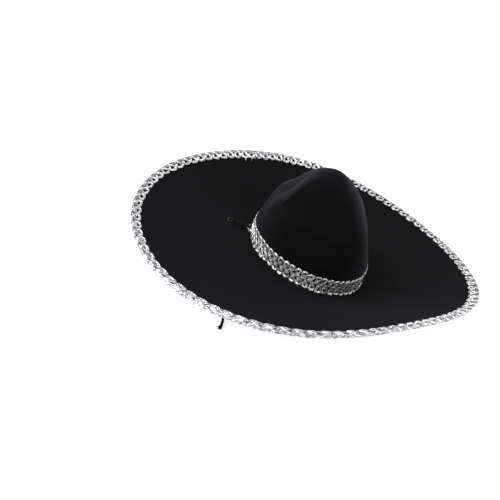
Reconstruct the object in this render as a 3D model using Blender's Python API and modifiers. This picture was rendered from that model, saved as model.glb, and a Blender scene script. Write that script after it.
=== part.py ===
"""Felt sombrero: a crown pinched with four dents, a wide saddle-shaped brim laminated
from two felts over a stiffening board, silver braid, sweatband and a chin cord.

Metres, +Z up.  The hat stands on the flat ring around its head opening, which lies on
z = 0.  Its front faces -Y, and +X is the wearer's left side seen from the front.
"""
import math

import bmesh
import bpy
from mathutils import Matrix, Vector

# ---- driving dimensions -----------------------------------------------------------------
SECTIONS = 64                 # sections around the hat, the same for every oval piece

CROWN_LONG = 0.1045           # half length of the crown's outer foot, front to back
CROWN_WIDE = 0.0855           # half width of the crown's outer foot, side to side
CROWN_TOP = 0.1500            # height of the crown's top
CROWN_FELT = 0.0020           # felt thickness of the crown
CROWN_FULLNESS = 2.9          # larger keeps the crown wide for longer before it rounds in
CROWN_ROUNDING = 0.85         # smaller makes the top blunter
CROWN_TIP = 0.05              # share of the radius over which the very top is rounded

DENT_DEPTH = 0.14             # how far a dent goes in, as a share of the crown's radius
DENT_HEIGHT = 0.55            # height of a dent's middle, as a share of the crown's height
DENT_TALL = 0.285             # height over which a dent fades, in the same share
DENT_WIDE = 0.38              # angle over which a dent fades, radians
DENT_START = 0.17             # below this share of the height the crown stays a plain oval
DENT_BLEND = 0.20

BRIM_RADIUS = 0.260           # mean radius of the finished rim, gimp included
BRIM_OVAL = 0.085             # share by which the sides are wider and front and back shorter
BRIM_SQUARE = 0.015           # share by which the diagonals stand out
BRIM_RISE = 0.041             # mean height of the rim over the flat ring
BRIM_SADDLE = 0.016           # how much higher front and back stand than the mean
BRIM_CURVE = 1.20             # exponent of the dish from the flat ring to the rim
FLAT_RING = 0.010             # width of the flat ring outside the crown
FELT = 0.0010                 # thickness of each brim felt
BOARD = 0.0008                # thickness of the stiffening board
GAP = 0.0003                  # clearance between pieces that touch
BRIM_THICK = 2 * FELT + BOARD + 2 * GAP
COLLAR_TOP = 0.012            # height of the under felt's collar inside the crown
LAYER_SHARES = (0.0, 0.15, 0.35, 0.60, 0.80, 0.985)   # rows of every brim layer

WIRE_RADIUS = 0.0010
GIMP_THICK = 0.0015           # thickness of the gimp folded over the rim
GIMP_OVER = 0.0155            # how far it reaches over the top of the brim
GIMP_UNDER = 0.0125           # how far it reaches back underneath
RIM_INSET = 0.0041            # from the finished rim back to the felt's edge

BAND_HIGH = 0.0285            # upper edge of the crown's gimp
BAND_THICK = 0.0020
SWEAT_LOW = 0.0006            # lower and upper edge of the sweatband
SWEAT_HIGH = 0.0320
SWEAT_THICK = 0.0012

CORD_RADIUS = 0.00175
CORD_STEP = 0.0085            # distance between a cord's points where it runs easily
EYELET_ANGLE = 137.0          # degrees round from +X to the left eyelet
EYELET_SHARE = 0.18           # how far out the eyelets stand between flat ring and rim
EYELET_BORE = 0.00245
EYELET_BARREL = 0.00285
EYELET_FLANGE = 0.0046
EYELET_HOLE = EYELET_BARREL + 0.00025

SLIDER_AT = Vector((-0.1869, 0.0, 0.0039))
SLIDER_SIZE = (0.0130, 0.0140, 0.0072)
SLIDER_BORE = 0.00210
STRAND_SPACING = 0.0052
KNOT_RADIUS = 0.0045

# The cord in the eyelets' own frames: (distance outwards, height) above and below the brim.
HUMP = ((0.0, 0.00015), (0.0, 0.0020), (-0.0003, 0.0036), (-0.0014, 0.0054),
        (-0.0034, 0.0066), (-0.0062, 0.0068))
DROP = ((0.0, -0.00015), (0.0, -0.0019), (0.0003, -0.0029))
# The crown stretch round the back of the crown's foot: its angles, offset and height.
FOOT_RUN = tuple(range(132, 47, -6))
FOOT_RUN_OFFSET = 0.0055
FOOT_RUN_HEIGHT = 0.0083

# Route points of the two strands under the brim, chosen by hand.
LEFT_ROUTE = (
    (-0.0936, 0.0975, 0.0028), (-0.0962, 0.0983, 0.0021), (-0.1010, 0.0984, 0.0021),
    (-0.1120, 0.0960, 0.0021), (-0.1280, 0.0910, 0.0021), (-0.1440, 0.0845, 0.0021),
    (-0.1600, 0.0755, 0.0022), (-0.1740, 0.0650, 0.0025), (-0.1822, 0.0535, 0.0034),
    (-0.1843, 0.0430, 0.0039), (-0.1843, 0.0340, 0.0039), (-0.1843, 0.0000, 0.0039),
    (-0.1843, -0.0340, 0.0039), (-0.1843, -0.0430, 0.0039), (-0.1834, -0.0540, 0.0042),
    (-0.1810, -0.0640, 0.0048),
)
LEFT_KNOT = Vector((-0.1792, -0.0690, 0.0050))
LEFT_TAIL = (
    (-0.1776, -0.0745, 0.0046), (-0.1757, -0.0820, 0.0030), (-0.1735, -0.0890, 0.0022),
    (-0.1705, -0.0950, 0.0021),
)
RIGHT_ROUTE = (
    (0.0936, 0.0978, 0.0028), (0.0958, 0.1000, 0.0021), (0.0982, 0.1040, 0.0021),
    (0.0985, 0.1110, 0.0021), (0.0945, 0.1195, 0.0021), (0.0850, 0.1285, 0.0021),
    (0.0700, 0.1385, 0.0021), (0.0480, 0.1480, 0.0021), (0.0240, 0.1545, 0.0021),
    (0.0000, 0.1565, 0.0021), (-0.0300, 0.1555, 0.0021), (-0.0600, 0.1500, 0.0021),
    (-0.0900, 0.1400, 0.0021), (-0.1190, 0.1245, 0.0021), (-0.1460, 0.1045, 0.0021),
    (-0.1680, 0.0830, 0.0022), (-0.1830, 0.0630, 0.0030), (-0.1888, 0.0500, 0.0037),
    (-0.1895, 0.0400, 0.0039), (-0.1895, 0.0340, 0.0039), (-0.1895, 0.0000, 0.0039),
    (-0.1895, -0.0340, 0.0039), (-0.1895, -0.0430, 0.0039), (-0.1903, -0.0560, 0.0042),
    (-0.1926, -0.0690, 0.0048),
)
RIGHT_KNOT = Vector((-0.1942, -0.0742, 0.0050))
RIGHT_TAIL = (
    (-0.1958, -0.0795, 0.0046), (-0.1985, -0.0890, 0.0030), (-0.2020, -0.1010, 0.0022),
    (-0.2070, -0.1125, 0.0021), (-0.2125, -0.1205, 0.0021), (-0.2187, -0.1273, 0.0021),
)


# ---- the hat's surfaces -----------------------------------------------------------------
def section_angles():
    """Angles of the sections around the hat, from +X towards +Y."""
    return [2 * math.pi * i / SECTIONS for i in range(SECTIONS)]


def oval(angle, offset, height):
    """A point on the crown's foot oval, moved outwards by offset."""
    return Vector(((CROWN_WIDE + offset) * math.cos(angle),
                   (CROWN_LONG + offset) * math.sin(angle), height))


def felt_edge(angle):
    """A point on the edge of the brim's felt, at the middle of its thickness."""
    turn = 2 * (angle - math.pi / 2)
    radius = BRIM_RADIUS * (1 - BRIM_OVAL * math.cos(turn) - BRIM_SQUARE * math.cos(2 * turn))
    radius -= RIM_INSET
    height = BRIM_THICK / 2 + BRIM_RISE + BRIM_SADDLE * math.cos(turn)
    return Vector((radius * math.cos(angle), radius * math.sin(angle), height))


def brim_middle(angle, share):
    """A point on the brim's middle surface: share 0 at the flat ring, 1 at the felt's edge."""
    inner = oval(angle, FLAT_RING, BRIM_THICK / 2)
    point = inner.lerp(felt_edge(angle), share)
    rise = felt_edge(angle).z - inner.z
    point.z = inner.z + rise * max(share, 0.0) ** BRIM_CURVE
    return point


def brim_normal(angle, share):
    """The upward normal of the brim's middle surface."""
    step = 0.001
    along = brim_middle(angle, share + step) - brim_middle(angle, max(share - step, 0.0))
    around = brim_middle(angle + step, share) - brim_middle(angle - step, share)
    return along.cross(around).normalized()


def brim_layer_point(angle, share, offset):
    """A point at a height of offset over the brim's middle surface, along its normal."""
    return brim_middle(angle, share) + offset * brim_normal(angle, share)


def dent_share(angle, rise):
    """How far the four dents on the diagonals draw the crown in, as a share of its radius."""
    start = min(max((rise - DENT_START) / DENT_BLEND, 0.0), 1.0)
    start = start * start * (3 - 2 * start)
    tall = math.exp(-((rise - DENT_HEIGHT) / DENT_TALL) ** 2)
    wide = 0.0
    for quarter in range(4):
        middle = math.pi / 4 + quarter * math.pi / 2
        away = (angle - middle + math.pi) % (2 * math.pi) - math.pi
        wide += math.exp(-(away / DENT_WIDE) ** 2)
    return DENT_DEPTH * start * tall * wide


def crown_point(angle, rise):
    """A point on the crown's outer face: rise 0 at its lower edge, 1 at its top."""
    foot = FELT + GAP
    pointed = (1 - rise ** CROWN_FULLNESS) ** CROWN_ROUNDING
    pointed *= math.hypot(1, CROWN_TIP) - CROWN_TIP
    width = math.sqrt((pointed + CROWN_TIP) ** 2 - CROWN_TIP ** 2)
    width *= 1 - dent_share(angle, rise)
    return Vector((CROWN_WIDE * width * math.cos(angle), CROWN_LONG * width * math.sin(angle),
                   foot + (CROWN_TOP - foot) * rise))


# ---- helpers ----------------------------------------------------------------------------
def clear_scene():
    """Removes the objects a new file starts with."""
    for item in list(bpy.data.objects):
        bpy.data.objects.remove(item, do_unlink=True)


def collection(name):
    """A new collection in the scene."""
    group = bpy.data.collections.new(name)
    bpy.context.scene.collection.children.link(group)
    return group


def finish(name, colour, roughness, metallic=0.0):
    """A Principled material."""
    material = bpy.data.materials.new(name)
    material.use_nodes = True
    shader = material.node_tree.nodes["Principled BSDF"]
    shader.inputs["Base Color"].default_value = (*colour, 1.0)
    shader.inputs["Roughness"].default_value = roughness
    shader.inputs["Metallic"].default_value = metallic
    return material


def mesh_object(name, bm, group, material):
    """Makes a smooth-shaded object of a bmesh and files it."""
    mesh = bpy.data.meshes.new(name)
    bm.to_mesh(mesh)
    bm.free()
    mesh.shade_smooth()
    mesh.set_sharp_from_angle(angle=math.radians(40))
    obj = bpy.data.objects.new(name, mesh)
    group.objects.link(obj)
    mesh.materials.append(material)
    return obj


def lofted_sheet(rows, pole=None):
    """An open sheet through closed rows of points, from the outermost or lowest row up."""
    bm = bmesh.new()
    rings = [[bm.verts.new(point) for point in row] for row in rows]
    for low, high in zip(rings, rings[1:]):
        for i in range(len(low)):
            j = (i + 1) % len(low)
            bm.faces.new((low[i], low[j], high[j], high[i]))
    if pole is not None:
        top = bm.verts.new(pole)
        last = rings[-1]
        for i in range(len(last)):
            bm.faces.new((last[i], last[(i + 1) % len(last)], top))
    return bm


def solidify(obj, thickness, offset):
    """Gives an open sheet its thickness: offset -1 behind it, 0 centred, 1 in front of it."""
    shell = obj.modifiers.new("thickness", "SOLIDIFY")
    shell.thickness = thickness
    shell.offset = offset
    shell.use_even_offset = True
    shell.use_rim = True


def turned(name, profile, steps, group, material):
    """A solid of revolution about its own Z axis from a closed profile of (radius, height)."""
    bm = bmesh.new()
    points = [bm.verts.new((radius, 0.0, height)) for radius, height in profile]
    for a, b in zip(points, points[1:] + points[:1]):
        bm.edges.new((a, b))
    obj = mesh_object(name, bm, group, material)
    screw = obj.modifiers.new("turn", "SCREW")
    screw.steps = steps
    screw.render_steps = steps
    screw.use_merge_vertices = True
    screw.merge_threshold = 0.00001
    screw.use_normal_calculate = False
    return obj


def smooth_route(points, step):
    """Points on the smooth curve through route points, at most about step apart."""
    knots = [2 * points[0] - points[1]] + list(points) + [2 * points[-1] - points[-2]]
    smooth = []
    for before, start, end, after in zip(knots, knots[1:], knots[2:], knots[3:]):
        count = max(1, round((end - start).length / step))
        for i in range(count):
            t = i / count
            smooth.append(0.5 * (2 * start + (end - before) * t
                                 + (2 * before - 5 * start + 4 * end - after) * t ** 2
                                 + (3 * start - before - 3 * end + after) * t ** 3))
    smooth.append(points[-1])
    return smooth


def tube(name, points, radius, closed, group, material):
    """A round tube along points, with flat ends unless it closes on itself."""
    curve = bpy.data.curves.new(name, "CURVE")
    curve.dimensions = "3D"
    curve.bevel_depth = radius
    curve.bevel_resolution = 2
    curve.use_fill_caps = not closed
    line = curve.splines.new("POLY")
    line.points.add(len(points) - 1)
    for spot, point in zip(line.points, points):
        spot.co = (*point, 1.0)
    line.use_cyclic_u = closed
    curve.materials.append(material)
    obj = bpy.data.objects.new(name, curve)
    group.objects.link(obj)
    return obj


# ---- crown ------------------------------------------------------------------------------
def make_crown(group, felt):
    """The crown: an oval dome with four dents, open below."""
    rises = [0.0, 0.08, 0.18, 0.26, 0.33, 0.40, 0.47, 0.54, 0.61, 0.68, 0.75, 0.82, 0.88,
             0.93, 0.97, 0.992]
    rows = [[crown_point(angle, rise) for angle in section_angles()] for rise in rises]
    obj = mesh_object("crown", lofted_sheet(rows, crown_point(0.0, 1.0)), group, felt)
    solidify(obj, CROWN_FELT, -1.0)


# ---- brim -------------------------------------------------------------------------------
def brim_sheet(start, shares, offset):
    """Rows of a brim layer from its inner edge to the rim, at a height over the middle."""
    rows = [[oval(angle, start, BRIM_THICK / 2 + offset) for angle in section_angles()]]
    for share in shares:
        rows.append([brim_layer_point(angle, share, offset) for angle in section_angles()])
    return rows


def make_brim(group, felt, board):
    """The three brim layers: top felt, board and under felt with its collar."""
    to_edge = LAYER_SHARES + (1.0,)
    outside_crown = GAP
    top_offset = BRIM_THICK / 2 - FELT / 2
    sheet = lofted_sheet(brim_sheet(outside_crown, to_edge, top_offset))
    top = mesh_object("brim_top_felt", sheet, group, felt)
    solidify(top, FELT, 0.0)
    sheet = lofted_sheet(brim_sheet(outside_crown, LAYER_SHARES, 0.0))
    middle = mesh_object("brim_board", sheet, group, board)
    solidify(middle, BOARD, 0.0)

    collar = -(CROWN_FELT + GAP + FELT / 2)
    rows = [[oval(angle, collar, height) for angle in section_angles()]
            for height in (COLLAR_TOP, FELT / 2)]
    rows += brim_sheet(collar, to_edge, -top_offset)[1:]
    under = mesh_object("brim_under_felt", lofted_sheet(rows), group, felt)
    solidify(under, FELT, 0.0)
    return [top, middle, under]


# ---- rim --------------------------------------------------------------------------------
def rim_section_point(angle, inward, offset):
    """A point near the felt's edge: inward along the brim, and offset along its normal."""
    edge = brim_middle(angle, 1.0)
    direction = (brim_middle(angle, 0.95) - edge).normalized()
    return edge + inward * direction + offset * brim_normal(angle, 0.999)


def make_rim(group, wire_metal, silver):
    """The rim wire along the felt's edge, and the gimp folded over both."""
    wire_inward = -(GAP + WIRE_RADIUS)
    points = [rim_section_point(angle, wire_inward, 0.0) for angle in section_angles()]
    tube("rim_wire", points, WIRE_RADIUS, True, group, wire_metal)

    face = BRIM_THICK / 2 + GAP + GIMP_THICK / 2
    nose = wire_inward - WIRE_RADIUS - GAP - GIMP_THICK / 2
    fold = [(GIMP_OVER, face), (-0.0005, face), (nose, 0.0012), (nose, -0.0012),
            (-0.0005, -face), (GIMP_UNDER, -face)]
    rows = [[rim_section_point(angle, inward, offset) for angle in section_angles()]
            for inward, offset in reversed(fold)]
    obj = mesh_object("rim_gimp", lofted_sheet(rows), group, silver)
    solidify(obj, GIMP_THICK, 0.0)


# ---- crown trim and sweatband -----------------------------------------------------------
def foot_reach(angle):
    """How much further the crown gimp's foot spreads where the cord presses it down."""
    back = max(0.0, math.sin(angle))
    return 0.0045 * min(1.0, 2.2 * back * back)


def make_trim(group, silver, tape):
    """The gimp round the crown, with its lower edge spread on the brim, and the sweatband."""
    profile = [(0.0014, BAND_HIGH), (0.0014, 0.0180), (0.0014, 0.0075), (0.0024, 0.0055)]
    rows = [[oval(angle, offset, height) for angle in section_angles()]
            for offset, height in reversed(profile)]
    foot = [oval(angle, 0.0044 + foot_reach(angle), 0.0049) for angle in section_angles()]
    obj = mesh_object("crown_gimp", lofted_sheet([foot] + rows), group, silver)
    solidify(obj, BAND_THICK, 0.0)

    offset = -(CROWN_FELT + FELT + 2 * GAP + SWEAT_THICK / 2)
    rows = [[oval(angle, offset, height) for angle in section_angles()]
            for height in (SWEAT_LOW, 0.0160, SWEAT_HIGH)]
    obj = mesh_object("sweatband", lofted_sheet(rows), group, tape)
    solidify(obj, SWEAT_THICK, 0.0)


# ---- eyelets ----------------------------------------------------------------------------
def eyelet_frame(angle_degrees):
    """Where an eyelet stands: its centre, the direction outwards and the brim's normal."""
    angle = math.radians(angle_degrees)
    centre = brim_middle(angle, EYELET_SHARE)
    normal = brim_normal(angle, EYELET_SHARE)
    outwards = Vector((math.cos(angle), math.sin(angle), 0.0))
    outwards = (outwards - outwards.dot(normal) * normal).normalized()
    return centre, outwards, normal


def eyelet_place(frame):
    """The placing matrix of something turned about an eyelet's axis."""
    centre, _, normal = frame
    turn = Vector((0.0, 0.0, 1.0)).rotation_difference(normal).to_matrix().to_4x4()
    return Matrix.Translation(centre) @ turn


def punch(layers, frame, cutters):
    """Punches one eyelet hole through every brim layer."""
    bm = bmesh.new()
    bmesh.ops.create_cone(bm, cap_ends=True, segments=20, radius1=EYELET_HOLE,
                          radius2=EYELET_HOLE, depth=0.02, matrix=eyelet_place(frame))
    mesh = bpy.data.meshes.new("eyelet_hole")
    bm.to_mesh(mesh)
    bm.free()
    cutter = bpy.data.objects.new("eyelet_hole", mesh)
    cutters.objects.link(cutter)
    cutter.hide_render = True
    cutter.display_type = "WIRE"
    for layer in layers:
        cut = layer.modifiers.new("eyelet hole", "BOOLEAN")
        cut.operation = "DIFFERENCE"
        cut.object = cutter


def make_eyelet(name, frame, group, metal):
    """A black eyelet: a barrel through the brim with a flange above and below."""
    low, high = BRIM_THICK / 2 + GAP, BRIM_THICK / 2 + GAP + 0.0005
    profile = [(EYELET_BORE, high), (EYELET_FLANGE, high), (EYELET_FLANGE, low),
               (EYELET_BARREL, low), (EYELET_BARREL, -low), (EYELET_FLANGE, -low),
               (EYELET_FLANGE, -high), (EYELET_BORE, -high)]
    obj = turned(name, profile, 20, group, metal)
    obj.matrix_world = eyelet_place(frame)


# ---- chin cord --------------------------------------------------------------------------
def in_frame(frame, run):
    """Points given as distance outwards and height in an eyelet's frame."""
    centre, outwards, normal = frame
    return [centre + along * outwards + height * normal for along, height in run]


def make_crown_stretch(left, right, group, cord):
    """The cord from eyelet to eyelet over the brim and round the back of the crown's foot."""
    foot = [oval(math.radians(degrees), FOOT_RUN_OFFSET, FOOT_RUN_HEIGHT)
            for degrees in FOOT_RUN]
    points = in_frame(left, HUMP) + foot + list(reversed(in_frame(right, HUMP)))
    tube("chin_cord_crown", smooth_route(points, CORD_STEP), CORD_RADIUS, False, group, cord)


def make_knot(name, centre, group, cord):
    """The outer shape of an overhand knot in the cord."""
    bm = bmesh.new()
    bmesh.ops.create_uvsphere(bm, u_segments=14, v_segments=8, radius=KNOT_RADIUS)
    obj = mesh_object(name, bm, group, cord)
    obj.location = centre


def at_knot(knot, beside):
    """Where a cord ends at a knot's face, coming from a point beside it."""
    return knot + (beside - knot).normalized() * (KNOT_RADIUS + GAP)


def make_strand(side, frame, route, knot, tail, group, cord):
    """One strand under the brim: from its eyelet to its knot, the knot, and the tail."""
    route = [Vector(point) for point in route]
    tail = [Vector(point) for point in tail]
    points = in_frame(frame, DROP) + route + [at_knot(knot, route[-1])]
    tube("chin_cord_" + side, smooth_route(points, CORD_STEP), CORD_RADIUS, False, group, cord)
    make_knot("knot_" + side, knot, group, cord)
    points = [at_knot(knot, tail[0])] + tail
    tube("cord_tail_" + side, smooth_route(points, CORD_STEP), CORD_RADIUS, False, group, cord)


def make_slider(group, cutters, plastic):
    """The slider that draws both strands together: a rounded block with two bores."""
    bm = bmesh.new()
    bmesh.ops.create_cube(bm, size=1.0)
    bmesh.ops.scale(bm, vec=SLIDER_SIZE, verts=bm.verts)
    obj = mesh_object("cord_slider", bm, group, plastic)
    obj.location = SLIDER_AT
    round_off = obj.modifiers.new("rounding", "BEVEL")
    round_off.width = 0.0012
    round_off.segments = 2
    round_off.limit_method = "ANGLE"
    round_off.angle_limit = math.radians(50)
    for side in (-0.5, 0.5):
        bore = bmesh.new()
        bmesh.ops.create_cone(bore, cap_ends=True, segments=20, radius1=SLIDER_BORE,
                              radius2=SLIDER_BORE, depth=2 * SLIDER_SIZE[1],
                              matrix=Matrix.Rotation(math.pi / 2, 4, "X"))
        mesh = bpy.data.meshes.new("slider_bore")
        bore.to_mesh(mesh)
        bore.free()
        cutter = bpy.data.objects.new("slider_bore", mesh)
        cutter.location = SLIDER_AT + Vector((side * STRAND_SPACING, 0.0, 0.0))
        cutter.hide_render = True
        cutter.display_type = "WIRE"
        cutters.objects.link(cutter)
        cut = obj.modifiers.new("bore", "BOOLEAN")
        cut.operation = "DIFFERENCE"
        cut.object = cutter


def main():
    """Builds the whole hat."""
    clear_scene()
    hat = collection("sombrero")
    cutters = collection("cutters")
    felt = finish("black_felt", (0.012, 0.012, 0.013), 0.95)
    board = finish("grey_board", (0.30, 0.28, 0.25), 0.9)
    steel = finish("rim_steel", (0.55, 0.55, 0.56), 0.4, 1.0)
    silver = finish("silver_gimp", (0.72, 0.72, 0.74), 0.35, 0.9)
    black_cord = finish("black_cord", (0.010, 0.010, 0.011), 0.7)
    tape = finish("black_tape", (0.015, 0.015, 0.017), 0.8)
    eyelet_metal = finish("black_eyelet", (0.02, 0.02, 0.02), 0.4, 0.6)
    plastic = finish("black_plastic", (0.015, 0.015, 0.015), 0.35)

    make_crown(hat, felt)
    layers = make_brim(hat, felt, board)
    make_rim(hat, steel, silver)
    make_trim(hat, silver, tape)

    left = eyelet_frame(EYELET_ANGLE)
    right = eyelet_frame(180.0 - EYELET_ANGLE)
    for frame in (left, right):
        punch(layers, frame, cutters)
    make_eyelet("eyelet_left", left, hat, eyelet_metal)
    make_eyelet("eyelet_right", right, hat, eyelet_metal)
    make_crown_stretch(left, right, hat, black_cord)
    make_strand("left", left, LEFT_ROUTE, LEFT_KNOT, LEFT_TAIL, hat, black_cord)
    make_strand("right", right, RIGHT_ROUTE, RIGHT_KNOT, RIGHT_TAIL, hat, black_cord)
    make_slider(hat, cutters, plastic)


main()
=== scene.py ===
"""Looks of the felt sombrero: felts, silver gimp, sweatband, eyelets and chin cord over the fixed frame.

Metres, +Z up, front of the hat towards -Y, +X the wearer's left.
"""
import logging
import math
from collections.abc import Callable, Sequence
from dataclasses import dataclass, field
from enum import Enum

import bmesh
import bpy
import numpy as np
from mathutils import Matrix, Vector


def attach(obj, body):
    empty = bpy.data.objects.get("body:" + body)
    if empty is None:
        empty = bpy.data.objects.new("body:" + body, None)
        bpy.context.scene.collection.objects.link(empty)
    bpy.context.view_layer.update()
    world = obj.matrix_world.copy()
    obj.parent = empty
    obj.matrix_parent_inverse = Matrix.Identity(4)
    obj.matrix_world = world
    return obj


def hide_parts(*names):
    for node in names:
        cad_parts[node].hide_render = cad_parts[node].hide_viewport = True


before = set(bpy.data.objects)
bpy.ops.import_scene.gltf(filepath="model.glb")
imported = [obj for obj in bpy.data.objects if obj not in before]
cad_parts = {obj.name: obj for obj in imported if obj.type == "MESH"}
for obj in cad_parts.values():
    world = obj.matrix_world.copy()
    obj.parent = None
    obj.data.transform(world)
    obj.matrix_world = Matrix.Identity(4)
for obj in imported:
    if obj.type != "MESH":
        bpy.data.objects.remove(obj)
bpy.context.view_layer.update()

log = logging.getLogger("sombrero")
TAU = 2 * math.pi
Profile = Sequence[tuple[float, float]]


class Body(Enum):
    """The rigid bodies that pieces ride on."""

    HAT = "hat"
    SLIDER = "slider"


class Slot(Enum):
    """The record's material slots."""

    FELT = "felt"
    BOARD = "board"
    WIRE = "wire"
    GIMP = "gimp"
    TAPE = "tape"
    EYELET = "eyelet"
    CORD = "cord"
    PLASTIC = "plastic"


class Side(Enum):
    """The wearer's sides, as the two ends of the chin cord are named."""

    LEFT = "left"
    RIGHT = "right"


# ---- fields and node trees ----------------------------------------------------------------
@dataclass
class Field:
    """One float value inside a node tree, with ordinary arithmetic.

    Args:
        tree: The node tree that the value lives in.
        socket: The output socket that carries it.
    """

    tree: bpy.types.NodeTree
    socket: bpy.types.NodeSocket

    def _math(self, operation: str, *others: "Field | float") -> "Field":
        """Adds one Math node.

        Args:
            operation: The Math node's operation.
            others: Further operands after this value.

        Returns:
            The node's result.
        """
        node = self.tree.nodes.new("ShaderNodeMath")
        node.operation = operation
        self.tree.links.new(self.socket, node.inputs[0])
        for place, other in enumerate(others, start=1):
            plug(self.tree, other, node.inputs[place])
        return Field(self.tree, node.outputs[0])

    def __add__(self, other: "Field | float") -> "Field":
        """Sum."""
        return self._math("ADD", other)

    def __sub__(self, other: "Field | float") -> "Field":
        """Difference."""
        return self._math("SUBTRACT", other)

    def __mul__(self, other: "Field | float") -> "Field":
        """Product."""
        return self._math("MULTIPLY", other)

    def __truediv__(self, other: "Field | float") -> "Field":
        """Quotient."""
        return self._math("DIVIDE", other)

    def sin(self) -> "Field":
        """Sine."""
        return self._math("SINE")

    def cos(self) -> "Field":
        """Cosine."""
        return self._math("COSINE")

    def root(self) -> "Field":
        """Square root."""
        return self._math("SQRT")

    def size(self) -> "Field":
        """Absolute value."""
        return self._math("ABSOLUTE")

    def wrapped(self) -> "Field":
        """The fractional part, from 0 up to 1."""
        return self._math("WRAP", 1.0, 0.0)

    def power(self, exponent: "Field | float") -> "Field":
        """This value to a power."""
        return self._math("POWER", exponent)

    def above(self, limit: "Field | float") -> "Field":
        """The larger of this value and a limit."""
        return self._math("MAXIMUM", limit)

    def below(self, limit: "Field | float") -> "Field":
        """The smaller of this value and a limit."""
        return self._math("MINIMUM", limit)


def plug(tree: bpy.types.NodeTree, value: "Field | float | bpy.types.NodeSocket",
         socket: bpy.types.NodeSocket) -> None:
    """Feeds a socket from a field, another socket or a constant.

    Args:
        tree: The tree that holds the socket.
        value: What feeds it.
        socket: The input socket.
    """
    if isinstance(value, Field):
        tree.links.new(value.socket, socket)
    elif isinstance(value, bpy.types.NodeSocket):
        tree.links.new(value, socket)
    else:
        socket.default_value = value


class GeometryTree:
    """A Geometry Nodes tree that is built in code and baked onto a carrier mesh."""

    def __init__(self, name: str, inputs: Sequence[tuple[str, str]]) -> None:
        """Makes the tree with its named inputs.

        Args:
            name: The tree's name.
            inputs: Name and socket type of each input after the geometry.
        """
        self.tree = bpy.data.node_groups.new(name, "GeometryNodeTree")
        face = self.tree.interface
        face.new_socket("Geometry", in_out="INPUT", socket_type="NodeSocketGeometry")
        for label, kind in inputs:
            face.new_socket(label, in_out="INPUT", socket_type=kind)
        face.new_socket("Geometry", in_out="OUTPUT", socket_type="NodeSocketGeometry")
        self.entry = self.tree.nodes.new("NodeGroupInput")
        self.exit = self.tree.nodes.new("NodeGroupOutput")

    def input(self, name: str) -> Field:
        """The named input as a value."""
        return Field(self.tree, self.entry.outputs[name])

    def node(self, kind: str, links: dict[str | int, object] | None = None,
             **settings: object) -> bpy.types.Node:
        """Adds a node.

        Args:
            kind: The node's type.
            links: What feeds each input, by socket name or index.
            settings: Properties to set before the sockets are looked up.

        Returns:
            The new node.
        """
        node = self.tree.nodes.new(kind)
        for key, value in settings.items():
            setattr(node, key, value)
        for key, value in (links or {}).items():
            socket = node.inputs[key] if isinstance(key, int) else live(node.inputs, key)
            plug(self.tree, value, socket)
        return node

    def field(self, kind: str, output: str | int = 0,
              links: dict[str | int, object] | None = None, **settings: object) -> Field:
        """Adds a node and returns one of its outputs as a value.

        Args:
            kind: The node's type.
            output: Name or number of the output.
            links: What feeds each input, by name or number.
            settings: Properties of the node.

        Returns:
            The output as a field.
        """
        node = self.node(kind, links, **settings)
        socket = node.outputs[output] if isinstance(output, int) else live(node.outputs, output)
        return Field(self.tree, socket)

    def close(self, geometry: bpy.types.NodeSocket) -> None:
        """Ends the tree in Realize Instances and Set Material.

        Args:
            geometry: The finished geometry.
        """
        solid = self.node("GeometryNodeRealizeInstances", {"Geometry": geometry})
        smooth = self.node("GeometryNodeSetShadeSmooth", {"Geometry": solid.outputs[0]})
        dress = self.node("GeometryNodeSetMaterial", {
            "Geometry": smooth.outputs[0], "Material": self.entry.outputs["Material"]})
        self.tree.links.new(dress.outputs[0], self.exit.inputs[0])

    def bake(self, name: str, carrier: bpy.types.Object, **values: object) -> bpy.types.Object:
        """Runs the tree on a carrier and turns the result into a plain mesh object.

        Args:
            name: Name of the finished piece.
            carrier: The object whose mesh the tree reads; it is removed afterwards.
            values: Value of each input, with underscores for the spaces in its name.

        Returns:
            The finished piece at the origin.
        """
        modifier = carrier.modifiers.new("nodes", "NODES")
        modifier.node_group = self.tree
        for socket in self.tree.interface.items_tree:
            key = socket.name.replace(" ", "_").lower()
            if socket.in_out == "INPUT" and key in values:
                modifier[socket.identifier] = values[key]
        graph = bpy.context.evaluated_depsgraph_get()
        graph.update()
        mesh = bpy.data.meshes.new_from_object(carrier.evaluated_get(graph), depsgraph=graph)
        carrier.modifiers.remove(modifier)
        bpy.data.objects.remove(carrier, do_unlink=True)
        mesh.name = name
        piece = bpy.data.objects.new(name, mesh)
        bpy.context.scene.collection.objects.link(piece)
        return piece


def live(sockets: Sequence[bpy.types.NodeSocket], name: str) -> bpy.types.NodeSocket:
    """The enabled socket of a name.

    Args:
        sockets: A node's inputs or outputs.
        name: The name to find.

    Returns:
        The first enabled socket that has it.
    """
    return next(s for s in sockets if s.name == name and s.enabled)


# ---- shared shader effects ----------------------------------------------------------------
class Effect(Enum):
    """The shader node groups that several finishes share."""

    FELT = "felt_fibre"
    TWIST = "thread_twist"
    GRIME = "soft_mottle"


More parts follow.
